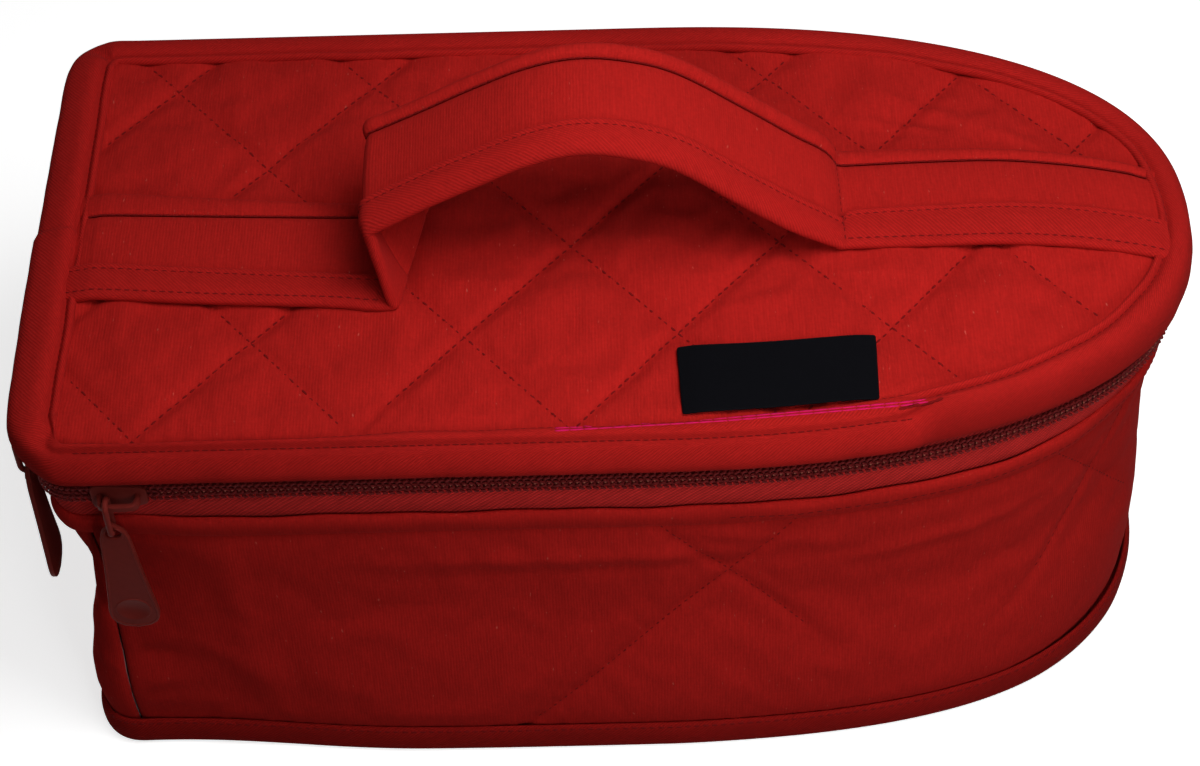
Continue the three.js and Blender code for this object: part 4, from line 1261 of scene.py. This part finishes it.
# %% Lay the coloured thread
bm = bmesh.new()
trees = skin(lid_binding, lid_pad)
for shift in (0.0, 1.1):
    sew(bm, trees, [(-18.5, -80.8 - shift, 152), (30, -78.5 - shift, 152),
                    (85.0, -74.1 - shift, 152)], down, gap=4.0, size=(4.6, 0.7, 0.4), sunk=0)
piece("coloured_thread", bm, piping_thread, body="lid", slot="red_twill")

# %% [markdown]
# ## Sliders, links and pulls
# Two painted metal sliders are parked head to head by the near corner of the heel.
# Each has two plates, a bridge, an oval wire link and a long pull with an eye and a
# thumb hollow. They are made once in a slider's own frame, with x along the zip, y
# into the case and z up, and then set on the near side and on the heel.

# %% Make the slider's metal
SLIDER_INSET = 0.9
SLIDER_PLACES = {}
for side, turn in (("near", 0.0), ("heel", -math.pi / 2)):
    low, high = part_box(f"{side}_slider")
    x = (low.x + high.x) / 2 if side == "near" else SLIDER_INSET * MM - HALF_LENGTH
    y = (low.y + high.y) / 2 if side == "heel" else SLIDER_INSET * MM - HALF_WIDTH
    SLIDER_PLACES[side] = Matrix.Translation((x, y, ZIP_LINE * MM)) @ Matrix.Rotation(turn, 4, "Z")


def round_off(bm, edges, width, segments):
    return bmesh.ops.bevel(bm, geom=list(edges), offset=width * MM, segments=segments,
                           affect="EDGES", profile=0.5, material=-1)["faces"]


def sharp_edges(bm, angle):
    return [e for e in bm.edges if len(e.link_faces) == 2 and e.calc_face_angle(0) > angle]


def block(bm, size, at, width, segments):
    """A block whose four edges along y are rounded, all in millimetres. Returns its points."""
    made = bmesh.ops.create_cube(bm, size=1, matrix=Matrix.Translation(Vector(at) * MM)
                                 @ Matrix.Diagonal((*(s * MM for s in size), 1)))["verts"]
    edges = {e for v in made for e in v.link_edges
             if abs((e.verts[1].co - e.verts[0].co).normalized().y) > 0.99}
    rounded = round_off(bm, edges, width, segments)
    return {v for f in rounded for v in f.verts} | {v for v in made if v.is_valid}


def slider_body(front):
    """Two plates joined by a web at the head, with the bridge in front."""
    bm = bmesh.new()
    for y in (0.6, 5.0):
        for v in block(bm, (16, 1.2, 10), (0, y, 0), 2.2, 4):
            if v.co.x * front < -3 * MM:
                v.co.z *= 0.8
    block(bm, (5, 3.4, 1.0), (front * 5, 2.8, 0), 0.3, 2)
    round_off(bm, sharp_edges(bm, 0.9), 0.32, 2)
    half = 5.4
    bridge = smooth_path([(-half, 0.3), (-half, -1.6), (-half + 0.7, -3.3), (-half + 2.4, -3.8),
                          (0, -3.9), (half - 2.4, -3.8), (half - 0.7, -3.3), (half, -1.6),
                          (half, 0.3)], 0.5) * MM
    path = np.column_stack([bridge, 0 * bridge[:, 0]])
    wide = 1.2 + 0.5 * np.exp(-((np.abs(path[:, 0]) / MM - half) / 0.8) ** 2)
    bar = swept(path, (0, 0, 1), [(a * wide * MM, b * MM) for a, b in (
        (-1, -0.4), (-0.7, -0.8), (0.7, -0.8), (1, -0.4), (1, 0.4), (0.7, 0.8), (-0.7, 0.8),
        (-1, 0.4))])
    mesh = bpy.data.meshes.new("bar")
    bar.to_mesh(mesh)
    bm.from_mesh(mesh)
    bar.free()
    bpy.data.meshes.remove(mesh)
    return bm


LINK_BACK, LINK_FRONT, LINK_TOP, LINK_FOOT, WIRE = -1.5, -6.1, 2.7, -10.5, 0.9
LINK_ALONG = 3.1


def slider_link(front):
    """An oval of wire that hangs round the bridge's bar."""
    turn = np.linspace(0, math.tau, 49)
    middle, radius = (LINK_BACK + LINK_FRONT) / 2, (LINK_BACK - LINK_FRONT) / 2
    straight = (LINK_TOP - LINK_FOOT) / 2 - radius
    y = middle + radius * np.cos(turn)
    z = (LINK_TOP + LINK_FOOT) / 2 + radius * np.sin(turn) + straight * np.tanh(np.sin(turn) * 9)
    path = np.column_stack([0 * y + front * LINK_ALONG, y, z]) * MM
    ring = [(WIRE * math.cos(a) * MM, WIRE * math.sin(a) * MM)
            for a in np.arange(10) * math.tau / 10]
    return swept(path, (1, 0, 0), ring, closed=True)


def pull_width(share):
    """Half the pull's width, in millimetres, from its eye (0) to its foot (1)."""
    return np.interp(share, (0, 0.07, 0.14, 0.5, 0.74, 0.84, 0.9, 0.95, 0.985, 1),
                     (0.1, 3.4, 4.3, 5.7, 6.9, 7.5, 7.3, 6.2, 3.8, 0.1))


EYE, HOLLOW, HOLLOW_DOWN, PULL_LENGTH, PULL_THICK = 2.3, 4.7, 41.2, 50.0, 1.6


def pull_plate(front):
    """The plate of the pull: an outline with an eye and a thumb hollow, given its thickness."""
    bm = bmesh.new()
    eye_z = LINK_FOOT + WIRE + 0.6 - EYE
    eye_x, middle, top = front * LINK_ALONG, (LINK_BACK + LINK_FRONT) / 2, eye_z + 4.3

    def loop(count, place):
        ring = bmesh.ops.create_circle(bm, segments=count, radius=1)["verts"]
        for v in ring:
            x, z = place(math.atan2(v.co.y, v.co.x))
            v.co = Vector((x, middle - PULL_THICK / 2, z)) * MM
        return list({e for v in ring for e in v.link_edges})

    def edge_place(turn):
        share = (1 - math.cos(turn)) / 2
        side = 1 if math.sin(turn) >= 0 else -1
        return eye_x + side * float(pull_width(share)), top - share * PULL_LENGTH

    def circle(z, radius):
        return lambda a: (eye_x + radius * math.cos(a), z + radius * math.sin(a))

    outline = loop(72, edge_place)
    eye = loop(28, circle(eye_z, EYE))
    thumb = loop(28, circle(top - HOLLOW_DOWN, HOLLOW))
    bmesh.ops.triangle_fill(bm, edges=outline + eye + thumb, use_beauty=True)
    bmesh.ops.contextual_create(bm, geom=thumb)
    back = bmesh.ops.extrude_face_region(bm, geom=bm.faces[:])["geom"]
    bmesh.ops.translate(bm, vec=(0, PULL_THICK * MM, 0),
                        verts=[g for g in back if isinstance(g, bmesh.types.BMVert)])
    bmesh.ops.recalc_face_normals(bm, faces=bm.faces)
    round_off(bm, sharp_edges(bm, 1.0), 0.25, 2)
    front_faces = [f for f in bm.faces if f.normal.y < -0.99]
    thumb_spot = Vector((eye_x, middle, top - HOLLOW_DOWN)) * MM
    dish = [f for f in front_faces
            if max((v.co - thumb_spot).xz.length for v in f.verts) < (HOLLOW + 0.05) * MM]
    plate = [f for f in front_faces if f not in dish]
    for faces, thickness, depth, even in (
            (plate, 0.45, 0, False), (plate, 0.2, -0.2, False), (dish, 0.9, -0.55, True)):
        bmesh.ops.inset_region(bm, faces=faces, thickness=thickness * MM, depth=depth * MM,
                               use_even_offset=even)
    return bm


for side, front in (("near", -1), ("heel", 1)):
    for part, shape, body in (("slider", slider_body, f"slider_{side}"),
                              ("link", slider_link, f"slider_{side}"),
                              ("pull", pull_plate, f"pull_{side}")):
        bm = shape(front)
        bmesh.ops.transform(bm, matrix=SLIDER_PLACES[side], verts=bm.verts)
        made = piece(f"{side}_{part}_metal", bm, slider_paint, body=body,
                     stands_for=(f"{side}_{part}",), slot="slider_paint")
        if part != "link":
            made.data.set_sharp_from_angle(angle=math.radians(40))
print("metal pieces at", [
    [round(v / MM, 1) for v in m.translation] for m in SLIDER_PLACES.values()])

# %% [markdown]
# ## Floor, backdrop and light
# The photograph has a pure white ground and light from above, to the right and in
# front. The floor and the world show white to the camera, but give off little light
# themselves, so the walls fall into the same deep shade as in the photograph.

# %% Light the case


def seen_straight(tree):
    """1 for what the camera sees, also in a mirror or through glass, and 0 for other light."""
    seen, *others = (node(tree, "LightPath", out=f"Is {kind} Ray")
                     for kind in ("Camera", "Glossy", "Transmission"))
    for other in others:
        seen = node(tree, "Math", {0: seen, 1: other}, operation="MAXIMUM")
    return seen


bm = bmesh.new()
bmesh.ops.create_grid(bm, x_segments=1, y_segments=1, size=6)
bmesh.ops.translate(bm, vec=(0, 0, -0.2 * MM), verts=bm.verts)
floor_finish, tree, shader = new_finish("white_floor", 1.0, Specular_IOR_Level=0.0)
seen = seen_straight(tree)
tree.links.new(node(tree, "MixRGB", {"Fac": seen, "Color1": (0.10, 0.10, 0.10, 1),
                                     "Color2": (1, 1, 1, 1)}), shader.inputs["Base Color"])
shader.inputs["Emission Color"].default_value = (1, 1, 1, 1)
tree.links.new(node(tree, "Math", {0: seen, 1: 0.7}, operation="MULTIPLY"),
               shader.inputs["Emission Strength"])
piece("floor", bm, floor_finish)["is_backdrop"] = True

world = bpy.data.worlds.new("studio")
bpy.context.scene.world = world
world.use_nodes = True
tree = world.node_tree
background = tree.nodes["Background"].inputs
background["Color"].default_value = (1, 1, 1, 1)
tree.links.new(tone(tree, seen_straight(tree), 0.10, 1.0), background["Strength"])


def lamp(name, at, aim, size, power, spread=180):
    """A square light that looks at aim, with its size in metres and its power in watts."""
    light = bpy.data.objects.new(name, bpy.data.lights.new(name, "AREA"))
    bpy.context.collection.objects.link(light)
    light.data.size, light.data.energy = size, power
    light.data.spread = math.radians(spread)
    way = Vector(at) - Vector(aim)
    light.matrix_world = Matrix.Translation(at) @ way.to_track_quat("Z", "Y").to_matrix().to_4x4()


lamp("key", (0.15, -0.13, 0.61), (0.0, -0.03, 0.12), 0.32, 2.05)
lamp("front", (0.19, -0.54, 0.36), (0.085, -0.085, 0.115), 0.25, 0.20, spread=66)

# %% [markdown]
# ## The size, and the end
# The dressed case may stand only a little proud of its solids, so the box round
# everything that is rendered, the floor left out, is measured.

# %% Measure the size
low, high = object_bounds()
